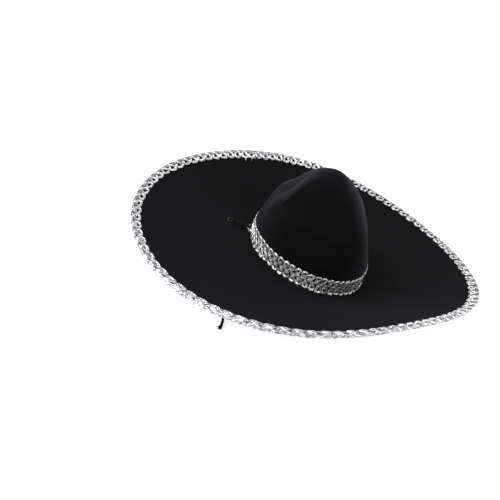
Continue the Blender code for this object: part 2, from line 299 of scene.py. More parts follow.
class EffectLibrary:
    """Builds each shared shader group once."""

    _made: dict[Effect, bpy.types.NodeTree] = {}

    @classmethod
    def get(cls, effect: Effect) -> bpy.types.NodeTree:
        """The group of an effect, made when first asked for.

        Args:
            effect: Which group.

        Returns:
            The node group.
        """
        if effect not in cls._made:
            maker: dict[Effect, Callable[[bpy.types.NodeTree], None]] = {
                Effect.FELT: cls._felt, Effect.TWIST: cls._twist, Effect.GRIME: cls._mottle}
            tree = bpy.data.node_groups.new(effect.value, "ShaderNodeTree")
            maker[effect](tree)
            cls._made[effect] = tree
        return cls._made[effect]

    @staticmethod
    def _faces(tree: bpy.types.NodeTree, inputs: Sequence[tuple[str, str, float | None]],
               outputs: Sequence[str]) -> tuple[bpy.types.Node, bpy.types.Node]:
        """Adds a group's sockets and its two end nodes.

        Args:
            tree: The group.
            inputs: Name, socket type and default of each input.
            outputs: Names of the float outputs.

        Returns:
            The input node and the output node.
        """
        for label, kind, default in inputs:
            socket = tree.interface.new_socket(label, in_out="INPUT", socket_type=kind)
            if default is not None:
                socket.default_value = default
        for label in outputs:
            tree.interface.new_socket(label, in_out="OUTPUT", socket_type="NodeSocketFloat")
        return tree.nodes.new("NodeGroupInput"), tree.nodes.new("NodeGroupOutput")

    @classmethod
    def _felt(cls, tree: bpy.types.NodeTree) -> None:
        """Pressed wool fibre: a fine matted height and a broad mottle.

        Args:
            tree: The group to fill.
        """
        entry, leave = cls._faces(tree, [("Vector", "NodeSocketVector", None),
                                         ("Fineness", "NodeSocketFloat", 900.0)],
                                  ["Height", "Mottle"])
        fine = tree.nodes.new("ShaderNodeTexNoise")
        fine.inputs["Detail"].default_value = 5.0
        fine.inputs["Roughness"].default_value = 0.7
        tree.links.new(entry.outputs["Vector"], fine.inputs["Vector"])
        tree.links.new(entry.outputs["Fineness"], fine.inputs["Scale"])
        hairs = tree.nodes.new("ShaderNodeTexVoronoi")
        hairs.feature = "DISTANCE_TO_EDGE"
        tree.links.new(entry.outputs["Vector"], hairs.inputs["Vector"])
        half = Field(tree, entry.outputs["Fineness"]) * 0.6
        tree.links.new(half.socket, hairs.inputs["Scale"])
        height = Field(tree, fine.outputs[0]) + Field(tree, hairs.outputs["Distance"]) * 0.8
        tree.links.new(height.socket, leave.inputs["Height"])
        broad = tree.nodes.new("ShaderNodeTexNoise")
        broad.inputs["Scale"].default_value = 34.0
        broad.inputs["Detail"].default_value = 6.0
        tree.links.new(entry.outputs["Vector"], broad.inputs["Vector"])
        tree.links.new(broad.outputs[0], leave.inputs["Mottle"])

    @classmethod
    def _twist(cls, tree: bpy.types.NodeTree) -> None:
        """The lay of a twisted or braided thread, from its place along and around.

        Args:
            tree: The group to fill.
        """
        entry, leave = cls._faces(tree, [("Along", "NodeSocketFloat", 0.0),
                                         ("Around", "NodeSocketFloat", 0.0),
                                         ("Turns", "NodeSocketFloat", 8.0),
                                         ("Crossed", "NodeSocketFloat", 0.0)],
                                  ["Height", "Groove"])
        along = Field(tree, entry.outputs["Along"]) * Field(tree, entry.outputs["Turns"])
        around = Field(tree, entry.outputs["Around"]) * (2 * TAU)
        one = ((along * TAU) + around).sin()
        other = ((along * TAU) - around).sin()
        crossed = Field(tree, entry.outputs["Crossed"])
        both = one.size() * (crossed * -1.0 + 1.0) + (one * other).size() * crossed
        tree.links.new(both.socket, leave.inputs["Height"])
        groove = both.power(0.5) * -1.0 + 1.0
        tree.links.new(groove.socket, leave.inputs["Groove"])

    @classmethod
    def _mottle(cls, tree: bpy.types.NodeTree) -> None:
        """Uneven shade from handling, as one soft value.

        Args:
            tree: The group to fill.
        """
        entry, leave = cls._faces(tree, [("Vector", "NodeSocketVector", None),
                                         ("Scale", "NodeSocketFloat", 120.0)], ["Value"])
        noise = tree.nodes.new("ShaderNodeTexNoise")
        noise.inputs["Detail"].default_value = 4.0
        tree.links.new(entry.outputs["Vector"], noise.inputs["Vector"])
        tree.links.new(entry.outputs["Scale"], noise.inputs["Scale"])
        tree.links.new(noise.outputs[0], leave.inputs["Value"])


class ShaderBench:
    """A material under construction: its Principled shader and short ways to feed it."""

    def __init__(self, name: str) -> None:
        """Makes the material.

        Args:
            name: The material's name.
        """
        self.material = bpy.data.materials.new(name)
        self.material.use_nodes = True
        self.tree = self.material.node_tree
        self.shader = self.tree.nodes["Principled BSDF"]

    def set(self, **values: object) -> None:
        """Sets constants on the shader's own sockets, with underscores for spaces."""
        for key, value in values.items():
            self.shader.inputs[key.replace("_", " ")].default_value = value

    def place(self, scale: tuple[float, float, float] = (1.0, 1.0, 1.0)
              ) -> bpy.types.NodeSocket:
        """Object coordinates through a Mapping node.

        Args:
            scale: Stretch along each axis.

        Returns:
            The mapped vector.
        """
        where = self.tree.nodes.new("ShaderNodeTexCoord")
        mapping = self.tree.nodes.new("ShaderNodeMapping")
        mapping.inputs["Scale"].default_value = scale
        self.tree.links.new(where.outputs["Object"], mapping.inputs["Vector"])
        return mapping.outputs[0]

    def attribute(self, name: str) -> Field:
        """A float attribute of the mesh.

        Args:
            name: The attribute's name.

        Returns:
            Its value as a field.
        """
        node = self.tree.nodes.new("ShaderNodeAttribute")
        node.attribute_name = name
        return Field(self.tree, node.outputs["Fac"])

    def effect(self, effect: Effect, **feeds: object) -> bpy.types.Node:
        """Places a shared group.

        Args:
            effect: Which group.
            feeds: What feeds each of its inputs, in lower case.

        Returns:
            The group node.
        """
        node = self.tree.nodes.new("ShaderNodeGroup")
        node.node_tree = EffectLibrary.get(effect)
        for key, value in feeds.items():
            plug(self.tree, value, node.inputs[key.capitalize()])
        return node

    def noise(self, scale: float, detail: float = 3.0,
              vector: bpy.types.NodeSocket | None = None) -> Field:
        """A noise value on object coordinates.

        Args:
            scale: Scale of the noise.
            detail: Its detail.
            vector: Where to read it, or None for object coordinates.

        Returns:
            The value as a field.
        """
        node = self.tree.nodes.new("ShaderNodeTexNoise")
        node.inputs["Scale"].default_value = scale
        node.inputs["Detail"].default_value = detail
        self.tree.links.new(vector or self.place(), node.inputs["Vector"])
        return Field(self.tree, node.outputs[0])

    def facets(self, scale: float) -> Field:
        """A value that changes from one small facet of thread to the next.

        Args:
            scale: Scale of the facets.

        Returns:
            The value as a field.
        """
        node = self.tree.nodes.new("ShaderNodeTexVoronoi")
        node.inputs["Scale"].default_value = scale
        self.tree.links.new(self.place(), node.inputs["Vector"])
        split = self.tree.nodes.new("ShaderNodeSeparateColor")
        self.tree.links.new(node.outputs["Color"], split.inputs[0])
        return Field(self.tree, split.outputs[0])

    def ramp(self, value: Field, stops: Sequence[tuple[float, tuple[float, float, float]]],
             to: str = "Base Color") -> bpy.types.NodeSocket:
        """Colours a value and feeds it to the shader.

        Args:
            value: The value to colour.
            stops: Position and colour of each stop.
            to: The shader's socket.

        Returns:
            The coloured output.
        """
        node = self.tree.nodes.new("ShaderNodeValToRGB")
        points = node.color_ramp.elements
        while len(points) < len(stops):
            points.new(0.5)
        for point, (position, colour) in zip(points, stops):
            point.position = position
            point.color = (*colour, 1.0)
        self.tree.links.new(value.socket, node.inputs[0])
        self.tree.links.new(node.outputs[0], self.shader.inputs[to])
        return node.outputs[0]

    def range(self, value: Field, low: float, high: float, to: str) -> None:
        """Feeds a value, spread between two numbers, to a shader socket.

        Args:
            value: The value.
            low: Result at the value's low end.
            high: Result at its high end.
            to: The shader's socket.
        """
        node = self.tree.nodes.new("ShaderNodeMapRange")
        node.inputs["From Min"].default_value = 0.2
        node.inputs["From Max"].default_value = 0.8
        node.inputs["To Min"].default_value = low
        node.inputs["To Max"].default_value = high
        self.tree.links.new(value.socket, node.inputs["Value"])
        self.tree.links.new(node.outputs[0], self.shader.inputs[to])

    def bump(self, height: Field, strength: float, distance: float) -> None:
        """Feeds a height to the shader's normal.

        Args:
            height: The height field.
            strength: Share of the effect.
            distance: Height of a step of one, in metres.
        """
        node = self.tree.nodes.new("ShaderNodeBump")
        node.inputs["Strength"].default_value = strength
        node.inputs["Distance"].default_value = distance
        self.tree.links.new(height.socket, node.inputs["Height"])
        self.tree.links.new(node.outputs[0], self.shader.inputs["Normal"])


# ---- finishes -----------------------------------------------------------------------------
@dataclass(frozen=True)
class FeltFinish:
    """Matte dyed felt with a soft nap.

    Args:
        name: The material's name.
        dark: Colour in the hollows of the fibre.
        light: Colour of the raised nap.
        nap: Weight of the nap's sheen.
        fineness: Scale of the matted fibre.
    """

    name: str
    dark: tuple[float, float, float]
    light: tuple[float, float, float]
    nap: float = 0.05
    fineness: float = 900.0

    def build(self) -> bpy.types.Material:
        """The felt's material.

        Returns:
            The finished material.
        """
        bench = ShaderBench(self.name)
        fibre = bench.effect(Effect.FELT, vector=bench.place(), fineness=self.fineness)
        height = Field(bench.tree, fibre.outputs["Height"])
        mottle = Field(bench.tree, fibre.outputs["Mottle"])
        bench.ramp(mottle * 0.55 + height * 0.3, [(0.25, self.dark), (0.75, self.light)])
        bench.range(mottle, 0.88, 1.0, "Roughness")
        bench.bump(height, 0.55, 0.0004)
        bench.set(Specular_IOR_Level=0.05, Sheen_Weight=self.nap, Sheen_Roughness=0.45,
                  Sheen_Tint=(0.75, 0.78, 0.9, 1.0))
        return bench.material


@dataclass(frozen=True)
class SilverThreadFinish:
    """Metallised silver thread with a twist, its colour painted with light: highlights on the flats and
    glints, shade in the hollows, on the bundle's outer strands and towards the strip's lower edge.

    Args:
        name: The material's name.
        turns: Turns of twist in each loop.
        painted_shade_colour: Colour of the painted shade in the hollows, on the outer strands and low on
            the strip.
        painted_highlight_colour: Colour of the painted highlights on the flats and glints.
        grain: Scale of the glint between threads, painted into the colour and also read as roughness.
        edge: How much painted shade darkens the bundle's outer strands.
        under: How much painted shade darkens the strip towards its lower edge.
        sparkle: How much the painted glint differs from one facet to the next.
    """

    name: str
    turns: float = 9.0
    painted_shade_colour: tuple[float, float, float] = (0.22, 0.22, 0.235)
    painted_highlight_colour: tuple[float, float, float] = (1.0, 1.0, 1.0)
    grain: float = 460.0
    edge: float = 0.06
    under: float = 0.0
    sparkle: float = 0.45

    def build(self) -> bpy.types.Material:
        """The thread's material.

        Returns:
            The finished material.
        """
        bench = ShaderBench(self.name)
        twist = bench.effect(Effect.TWIST, along=bench.attribute("along"),
                             around=bench.attribute("around"), turns=self.turns, crossed=0.0)
        height = Field(bench.tree, twist.outputs["Height"])
        glint = bench.noise(self.grain, 2.0)
        # Painted light: twist hollows, outer strands and the strip's lower side are painted darker as
        # shade, and facets and glint noise paint highlights.
        shade = height * 0.15 + bench.facets(self.grain * 0.8) * self.sparkle
        shade = shade + glint * (0.85 - self.sparkle)
        # Painted shade on the bundle's outer strands.
        shade = shade - bench.attribute("edge") * self.edge
        # Painted shade over the lower half of the strip.
        shade = shade - (bench.attribute("across") * -1.0 + 0.5).above(0.0) * self.under
        bench.ramp(shade, [(0.30, self.painted_shade_colour), (0.52, self.painted_highlight_colour)])
        bench.range(glint, 0.34, 0.14, "Roughness")
        bench.bump(height + glint * 0.5, 0.6, 0.0003)
        bench.set(Metallic=0.92, Specular_IOR_Level=0.5, Anisotropic=0.3)
        return bench.material


@dataclass(frozen=True)
class CordFinish:
    """Braided polyester cord.

    Args:
        name: The material's name.
        colour: Colour of the yarn.
        turns: Crossings of the braid to a metre.
    """

    name: str
    colour: tuple[float, float, float] = (0.0045, 0.0045, 0.005)
    turns: float = 260.0

    def build(self) -> bpy.types.Material:
        """The cord's material.

        Returns:
            The finished material.
        """
        bench = ShaderBench(self.name)
        twist = bench.effect(Effect.TWIST, along=bench.attribute("along"),
                             around=bench.attribute("around"), turns=self.turns, crossed=1.0)
        height = Field(bench.tree, twist.outputs["Height"])
        fuzz = bench.noise(2400.0, 3.0)
        bench.ramp(height * 0.7 + fuzz * 0.3, [
            (0.1, tuple(c * 0.45 for c in self.colour)), (0.8, tuple(c * 1.7 for c in self.colour))])
        bench.range(fuzz, 0.55, 0.75, "Roughness")
        bench.bump(height + fuzz * 0.25, 0.9, 0.0005)
        bench.set(Specular_IOR_Level=0.08, Sheen_Weight=0.012, Sheen_Roughness=0.4)
        return bench.material


@dataclass(frozen=True)
class RibbedTapeFinish:
    """Ribbed cotton tape of the sweatband, its ribs running up the band.

    Args:
        name: The material's name.
        ribs: Number of ribs round the head.
    """

    name: str
    ribs: float = 520.0

    def build(self) -> bpy.types.Material:
        """The tape's material.

        Returns:
            The finished material.
        """
        bench = ShaderBench(self.name)
        rib = (bench.attribute("along") * (self.ribs * TAU / 2)).sin().size()
        yarn = (bench.attribute("around") * (26.0 * TAU)).sin().size()
        fuzz = bench.noise(1500.0, 4.0)
        height = rib * 0.7 + yarn * 0.2 + fuzz * 0.2
        bench.ramp(height, [(0.1, (0.006, 0.006, 0.007)), (0.95, (0.030, 0.030, 0.034))])
        bench.range(fuzz, 0.7, 0.9, "Roughness")
        bench.bump(height, 0.8, 0.0004)
        bench.set(Specular_IOR_Level=0.25, Sheen_Weight=0.06)
        return bench.material


@dataclass(frozen=True)
class EnamelFinish:
    """Black enamel or moulded plastic with light handling marks.

    Args:
        name: The material's name.
        colour: Colour of the surface.
        worn: Colour where the surface is scuffed.
        gloss: Lowest roughness.
        metal: Metallic share.
    """

    name: str
    colour: tuple[float, float, float]
    worn: tuple[float, float, float]
    gloss: float = 0.3
    metal: float = 0.0

    def build(self) -> bpy.types.Material:
        """The enamel's material.

        Returns:
            The finished material.
        """
        bench = ShaderBench(self.name)
        marks = bench.effect(Effect.GRIME, vector=bench.place(), scale=900.0)
        value = Field(bench.tree, marks.outputs["Value"])
        bench.ramp(value, [(0.35, self.colour), (0.85, self.worn)])
        bench.range(value, self.gloss, self.gloss + 0.25, "Roughness")
        bench.bump(value, 0.25, 0.0002)
        bench.set(Metallic=self.metal, Coat_Weight=0.2, Coat_Roughness=0.2)
        return bench.material


@dataclass(frozen=True)
class SteelWireFinish:
    """Drawn spring steel, with lines along the wire."""

    name: str

    def build(self) -> bpy.types.Material:
        """The wire's material.

        Returns:
            The finished material.
        """
        bench = ShaderBench(self.name)
        lines = (bench.attribute("around") * (14.0 * TAU)).sin()
        marks = bench.noise(400.0, 4.0)
        bench.ramp(marks, [(0.3, (0.30, 0.30, 0.31)), (0.7, (0.55, 0.55, 0.56))])
        bench.range(marks, 0.28, 0.45, "Roughness")
        bench.bump(lines * 0.5 + marks, 0.3, 0.0001)
        bench.set(Metallic=1.0, Anisotropic=0.4)
        return bench.material


@dataclass(frozen=True)
class BoardFinish:
    """Bonded fibre board of the brim's stiffening layer."""

    name: str

    def build(self) -> bpy.types.Material:
        """The board's material.

        Returns:
            The finished material.
        """
        bench = ShaderBench(self.name)
        fibre = bench.effect(Effect.FELT, vector=bench.place(), fineness=500.0)
        height = Field(bench.tree, fibre.outputs["Height"])
        bench.ramp(height * 0.7, [(0.2, (0.22, 0.19, 0.15)), (0.8, (0.38, 0.34, 0.28))])
        bench.range(Field(bench.tree, fibre.outputs["Mottle"]), 0.8, 0.95, "Roughness")
        bench.bump(height, 0.4, 0.0003)
        bench.set(Specular_IOR_Level=0.3)
        return bench.material


@dataclass
class Wardrobe:
    """Every finish of the hat, built once."""

    brim_felt: bpy.types.Material = field(init=False)
    crown_felt: bpy.types.Material = field(init=False)
    under_felt: bpy.types.Material = field(init=False)
    rim_silver: bpy.types.Material = field(init=False)
    core_silver: bpy.types.Material = field(init=False)
    crown_silver: bpy.types.Material = field(init=False)
    frayed_silver: bpy.types.Material = field(init=False)
    cord: bpy.types.Material = field(init=False)
    tape: bpy.types.Material = field(init=False)
    stitch: bpy.types.Material = field(init=False)
    eyelet: bpy.types.Material = field(init=False)
    plastic: bpy.types.Material = field(init=False)
    wire: bpy.types.Material = field(init=False)
    board: bpy.types.Material = field(init=False)

    def __post_init__(self) -> None:
        """Builds the materials."""
        self.brim_felt = FeltFinish("brim_felt", (0.0017, 0.0017, 0.0021),
                                    (0.0035, 0.0035, 0.0042), 0.014).build()
        self.crown_felt = FeltFinish("crown_felt", (0.0005, 0.0005, 0.0007),
                                     (0.0017, 0.0017, 0.0021), 0.065).build()
        self.under_felt = FeltFinish("under_felt", (0.0040, 0.0040, 0.0044),
                                     (0.0080, 0.0081, 0.0088), 0.03, 760.0).build()
        # The silver finishes paint light into the colour: highlights on flats and glints, shade in
        # hollows and on outer strands; under=1.8 paints strong shade on the rim gimp's lower side.
        self.rim_silver = SilverThreadFinish("rim_silver_thread", 11.0, (0.13, 0.13, 0.135),
                                             (0.88, 0.88, 0.90), under=1.8, sparkle=0.30).build()
        self.core_silver = SilverThreadFinish("core_silver_thread", 60.0, (0.08, 0.08, 0.09),
                                              (0.55, 0.55, 0.57), 560.0).build()
        self.crown_silver = SilverThreadFinish("crown_silver_thread", 8.0,
                                               (0.14, 0.14, 0.145), (1.0, 1.0, 1.0),
                                               640.0, 0.03).build()
        self.frayed_silver = SilverThreadFinish("frayed_silver_thread", 40.0,
                                                (0.55, 0.55, 0.56), (0.9, 0.9, 0.92)).build()
        self.cord = CordFinish("braided_cord").build()
        self.tape = RibbedTapeFinish("sweatband_tape").build()
        self.stitch = CordFinish("sewing_thread", (0.02, 0.02, 0.022), 900.0).build()
        self.eyelet = EnamelFinish("eyelet_enamel", (0.008, 0.008, 0.008),
                                   (0.020, 0.019, 0.018), 0.38, 0.1).build()
        self.plastic = EnamelFinish("slider_plastic", (0.012, 0.012, 0.013),
                                    (0.03, 0.03, 0.032), 0.42).build()
        self.wire = SteelWireFinish("rim_wire_steel").build()
        self.board = BoardFinish("stiffening_board").build()


# ---- the hat's form -----------------------------------------------------------------------
@dataclass(frozen=True)
class HatForm:
    """The shape that every piece follows.

    Args:
        long: Half length of the crown's foot, front to back.
        wide: Half width of the crown's foot.
        top: Height of the crown.
        dent_depth: How far a dent goes in, as a share of the crown's radius.
        crown_felt: Thickness of the crown's felt.
        fullness: Larger keeps the crown wide for longer before it rounds in.
        rounding: Smaller makes the top blunter.
        tip: Share of the radius over which the very top is rounded.
        dent_height: Height of a dent's middle, as a share of the crown's height.
        dent_tall: Height over which a dent fades, in the same share.
        dent_wide: Angle over which a dent fades, in radians.
        brim_radius: Mean radius of the finished rim.
        brim_oval: Share by which the sides are wider and front and back shorter.
        brim_square: Share by which the diagonals stand out.
        brim_rise: Mean height of the rim over the flat ring.
        brim_saddle: How much higher front and back stand than the mean.
        brim_curve: Exponent of the dish from the flat ring to the rim.
        flat_ring: Width of the flat ring outside the crown.
        brim_thick: Thickness of the laminated brim.
        rim_inset: From the finished rim back to the felt's edge.
    """

    long: float = 0.1018
    wide: float = 0.0832
    top: float = 0.1500
    crown_felt: float = 0.0020
    fullness: float = 2.9
    rounding: float = 0.85
    tip: float = 0.05
    dent_depth: float = 0.14
    dent_height: float = 0.55
    dent_tall: float = 0.285
    dent_wide: float = 0.38
    brim_radius: float = 0.260
    brim_oval: float = 0.085
    brim_square: float = 0.015
    brim_rise: float = 0.041
    brim_saddle: float = 0.016
    brim_curve: float = 1.20
    flat_ring: float = 0.010
    brim_thick: float = 0.0034
    rim_inset: float = 0.0041

    def oval(self, angle: float, offset: float, height: float) -> Vector:
        """A point on the crown's foot oval, moved outwards by an offset."""
        return Vector(((self.wide + offset) * math.cos(angle),
                       (self.long + offset) * math.sin(angle), height))

    def felt_edge(self, angle: float) -> Vector:
        """A point on the edge of the brim's felt.

        Args:
            angle: Angle from +X, in radians.

        Returns:
            The point.
        """
        turn = 2 * (angle - math.pi / 2)
        radius = self.brim_radius * (1 - self.brim_oval * math.cos(turn)
                                     - self.brim_square * math.cos(2 * turn)) - self.rim_inset
        height = self.brim_thick / 2 + self.brim_rise + self.brim_saddle * math.cos(turn)
        return Vector((radius * math.cos(angle), radius * math.sin(angle), height))

    def brim(self, angle: float, share: float) -> Vector:
        """A point on the brim's middle surface, share 0 at the flat ring and 1 at the edge.

        Args:
            angle: Angle from +X, in radians.
            share: How far out the point lies.

        Returns:
            The point.
        """
        inner = self.oval(angle, self.flat_ring, self.brim_thick / 2)
        edge = self.felt_edge(angle)
        point = inner.lerp(edge, share)
        point.z = inner.z + (edge.z - inner.z) * max(share, 0.0) ** self.brim_curve
        return point

    def brim_normal(self, angle: float, share: float) -> Vector:
        """The upward normal of the brim's middle surface.

        Args:
            angle: Angle from +X, in radians.
            share: How far out the point lies.

        Returns:
            The unit normal.
        """
        step = 0.001
        along = self.brim(angle, share + step) - self.brim(angle, max(share - step, 0.0))
        around = self.brim(angle + step, share) - self.brim(angle - step, share)
        return along.cross(around).normalized()

    def brim_at(self, angle: float, share: float, offset: float) -> Vector:
        """A point at a height over the brim's middle surface."""
        return self.brim(angle, share) + offset * self.brim_normal(angle, share)

    def rim_at(self, angle: float, inward: float, offset: float) -> Vector:
        """A point near the felt's edge, inward along the brim and offset along its normal.

        Args:
            angle: Angle from +X, in radians.
            inward: Distance in from the edge.
            offset: Height over the middle surface.

        Returns:
            The point.
        """
        edge = self.brim(angle, 1.0)
        direction = (self.brim(angle, 0.95) - edge).normalized()
        return edge + inward * direction + offset * self.brim_normal(angle, 0.999)

    def dent(self, angle: float, rise: float) -> float:
        """How far the four dents draw the crown in, as a share of its radius.

        Args:
            angle: Angle from +X, in radians.
            rise: Height as a share of the crown's.

        Returns:
            The share.
        """
        start = min(max((rise - 0.17) / 0.20, 0.0), 1.0)
        start = start * start * (3 - 2 * start)
        tall = math.exp(-((rise - self.dent_height) / self.dent_tall) ** 2)
        wide = 0.0
        for quarter in range(4):
            middle = math.pi / 4 + quarter * math.pi / 2
            away = (angle - middle + math.pi) % TAU - math.pi
            wide += math.exp(-(away / self.dent_wide) ** 2)
        return self.dent_depth * start * tall * wide

    def pinch(self, angle: float, rise: float) -> float:
        """How far the fingers' pinches near the top deepen the dents, each by its own amount.

        Args:
            angle: Angle from +X, in radians.
            rise: Height as a share of the crown's.

        Returns:
            The share.
        """
        deep = 0.0
        for middle, half, depth in ((127.0, 45.0, 0.165), (220.0, 48.0, 0.180),
                                    (315.0, 47.0, 0.045), (37.0, 45.0, 0.070)):
            away = math.degrees((angle - math.radians(middle) + math.pi) % TAU - math.pi) / half
            if abs(away) < 1:
                deep += depth * (1 - abs(away) ** 2.2)
        return deep * math.exp(-((rise - 0.75) / 0.17) ** 4)

    def crown(self, angle: float, rise: float) -> Vector:
        """A point on the crown's outer face, rise 0 at its foot and 1 at its top.

        Args:
            angle: Angle from +X, in radians.
            rise: Height as a share of the crown's.

        Returns:
            The point.
        """
        foot = 0.0013
        pointed = max(1 - rise ** self.fullness, 0.0) ** self.rounding
        pointed *= math.hypot(1, self.tip) - self.tip
        width = math.sqrt((pointed + self.tip) ** 2 - self.tip ** 2)
        width *= 1 - self.dent(angle, rise) - self.pinch(angle, rise)
        full = min(max((rise - 0.12) / 0.33, 0.0), 1.0)
        width *= 1 + 0.027 * full * full * (3 - 2 * full)
        return Vector((self.wide * width * math.cos(angle), self.long * width * math.sin(angle),
                       foot + (self.top - foot) * rise))


# ---- mesh building ------------------------------------------------------------------------
class MeshShop:
    """Makes, finishes and files the mesh pieces."""

    @staticmethod
    def link(name: str, mesh: bpy.types.Mesh, *materials: bpy.types.Material
             ) -> bpy.types.Object:
        """An object at the origin for a mesh.

        Args:
            name: The piece's name.
            mesh: Its mesh.
            materials: Its materials in slot order.

        Returns:
            The linked object.
        """
        obj = bpy.data.objects.new(name, mesh)
        bpy.context.scene.collection.objects.link(obj)
        for material in materials:
            mesh.materials.append(material)
        mesh.shade_smooth()
        return obj

    @staticmethod
    def sheet(name: str, rows: Sequence[Sequence[Vector]], pole: Vector | None = None,
              lifts: Sequence[Sequence[Vector]] | None = None) -> bpy.types.Mesh:
        """A closed-round sheet through rows, with its UV and its along and around attributes.

        Args:
            name: The mesh's name.
            rows: Rows of points from the lowest or outermost up.
            pole: A last single point that closes the top.
            lifts: A direction for each point, kept as the attribute "lift".

        Returns:
            The mesh.
        """
        count, height = len(rows[0]), len(rows)
        points = [tuple(p) for row in rows for p in row]
        faces, corners = [], []
        for j in range(height - 1):
            for i in range(count):
                k = (i + 1) % count
                faces.append((j * count + i, j * count + k, (j + 1) * count + k,
                              (j + 1) * count + i))
                low, high = j / (height - 1), (j + 1) / (height - 1)
                corners += [(i / count, low), ((i + 1) / count, low),
                            ((i + 1) / count, high), (i / count, high)]
        if pole is not None:
            points.append(tuple(pole))
            for i in range(count):
                k = (i + 1) % count
                base = (height - 1) * count
                faces.append((base + i, base + k, len(points) - 1))
                corners += [(i / count, 1.0), ((i + 1) / count, 1.0), ((i + 0.5) / count, 1.0)]
        mesh = bpy.data.meshes.new(name)
        mesh.from_pydata(points, [], faces)
        layer = mesh.uv_layers.new(name="strip")
        layer.data.foreach_set("uv", np.array(corners, np.float32).ravel())
        for label, part in (("along", 0), ("around", 1)):
            data = mesh.attributes.new(label, "FLOAT", "CORNER")
            data.data.foreach_set("value", np.array([c[part] for c in corners], np.float32))
        if lifts is not None:
            data = mesh.attributes.new("lift", "FLOAT_VECTOR", "POINT")
            flat = np.array([tuple(v) for row in lifts for v in row], np.float32)
            data.data.foreach_set("vector", flat.ravel())
        mesh.update()
        return mesh

    @staticmethod
    def thicken(obj: bpy.types.Object, thickness: float, offset: float) -> bpy.types.Object:
        """Gives an open sheet its wall, as a plain mesh.

        Args:
            obj: The sheet.
            thickness: Thickness of the wall.
            offset: -1 behind the sheet, 0 centred on it.

        Returns:
            The same object, with its new mesh.
        """
        wall = obj.modifiers.new("wall", "SOLIDIFY")
        wall.thickness = thickness
        wall.offset = offset
        wall.use_even_offset = True
        return MeshShop.bake(obj)

    @staticmethod
    def bake(obj: bpy.types.Object) -> bpy.types.Object:
        """Turns an object's modifiers into a plain mesh.

        Args:
            obj: The object.

        Returns:
            The same object with its new mesh.
        """
        graph = bpy.context.evaluated_depsgraph_get()
        graph.update()
        mesh = bpy.data.meshes.new_from_object(obj.evaluated_get(graph), depsgraph=graph)
        obj.modifiers.clear()
        old = obj.data
        obj.data = mesh
        mesh.name = old.name
        bpy.data.meshes.remove(old)
        return obj

    @staticmethod
    def tube(name: str, points: Sequence[Vector], radius: float | Sequence[float],
             sides: int = 12, closed: bool = False) -> bpy.types.Mesh:
        """A round tube along points, with "along" in metres and "around" from 0 to 1.

        Args:
            name: The mesh's name.
            points: Points of the centre line.
            radius: One radius, or one for each point.
            sides: Number of sides.
            closed: Whether the tube closes on itself.

        Returns:
            The mesh.
        """
        count = len(points)
        radii = list(radius) if isinstance(radius, Sequence) else [radius] * count
        tangents = []
        for i in range(count):
            ahead = points[(i + 1) % count] if closed or i < count - 1 else points[i]
            behind = points[i - 1] if closed or i > 0 else points[i]
            tangents.append((ahead - behind).normalized())
        normal = tangents[0].orthogonal().normalized()
        rings, reach = [], 0.0
        reaches = []
        for i in range(count):
            normal = (normal - normal.dot(tangents[i]) * tangents[i]).normalized()
            side = tangents[i].cross(normal)
            rings.append([points[i] + radii[i] * (math.cos(TAU * s / sides) * normal
                                                  + math.sin(TAU * s / sides) * side)
                          for s in range(sides)])
            reaches.append(reach)
            if i < count - 1:
                reach += (points[i + 1] - points[i]).length
        flat = [tuple(p) for ring in rings for p in ring]
        faces, corners = [], []
        for i in range(count if closed else count - 1):
            k = (i + 1) % count
            end = reaches[k] if k else reach + (points[0] - points[-1]).length
            shift = 0
            if closed and k == 0:
                shift = min(range(sides), key=lambda s: (rings[0][s] - rings[-1][0]).length)
            for s in range(sides):
                t = (s + 1) % sides
                faces.append((i * sides + s, i * sides + t, k * sides + (t + shift) % sides,
                              k * sides + (s + shift) % sides))
                corners += [(reaches[i], s / sides), (reaches[i], (s + 1) / sides),
                            (end, (s + 1) / sides), (end, s / sides)]
        if not closed:
            faces.append(tuple(reversed(range(sides))))
            corners += [(0.0, 0.0)] * sides
            faces.append(tuple((count - 1) * sides + s for s in range(sides)))
            corners += [(reach, 0.0)] * sides
        mesh = bpy.data.meshes.new(name)
        mesh.from_pydata(flat, [], faces)
        for label, part in (("along", 0), ("around", 1)):
            data = mesh.attributes.new(label, "FLOAT", "CORNER")
            data.data.foreach_set("value", np.array([c[part] for c in corners], np.float32))
        mesh.update()
        return mesh

    @staticmethod
    def join(name: str, meshes: Sequence[bpy.types.Mesh], *materials: bpy.types.Material
             ) -> bpy.types.Object:
        """One object of several meshes.

        Args:
            name: Name of the object.
            meshes: The meshes.
            materials: Its materials.

        Returns:
            The object.
        """
        bm = bmesh.new()
        for mesh in meshes:
            bm.from_mesh(mesh)
        joined = bpy.data.meshes.new(name)
        bm.to_mesh(joined)
        bm.free()
        return MeshShop.link(name, joined, *materials)

    @staticmethod
    def lathe(name: str, profile: Profile, steps: int, place: Matrix) -> bpy.types.Mesh:
        """A solid of revolution of a closed profile of radius and height.

        Args:
            name: The mesh's name.
            profile: The closed profile, anticlockwise.
            steps: Steps round.
            place: Where its axis stands.

        Returns:
            The mesh.
        """
        bm = bmesh.new()
        rings = [[bm.verts.new(place @ Vector((r * math.cos(TAU * i / steps),
                                               r * math.sin(TAU * i / steps), z)))
                  for i in range(steps)] for r, z in profile]
        for a, b in zip(rings, rings[1:] + rings[:1]):
            for i in range(steps):
                k = (i + 1) % steps
                bm.faces.new((a[i], a[k], b[k], b[i]))
        bmesh.ops.recalc_face_normals(bm, faces=bm.faces)
        mesh = bpy.data.meshes.new(name)
        bm.to_mesh(mesh)
        bm.free()
        return mesh

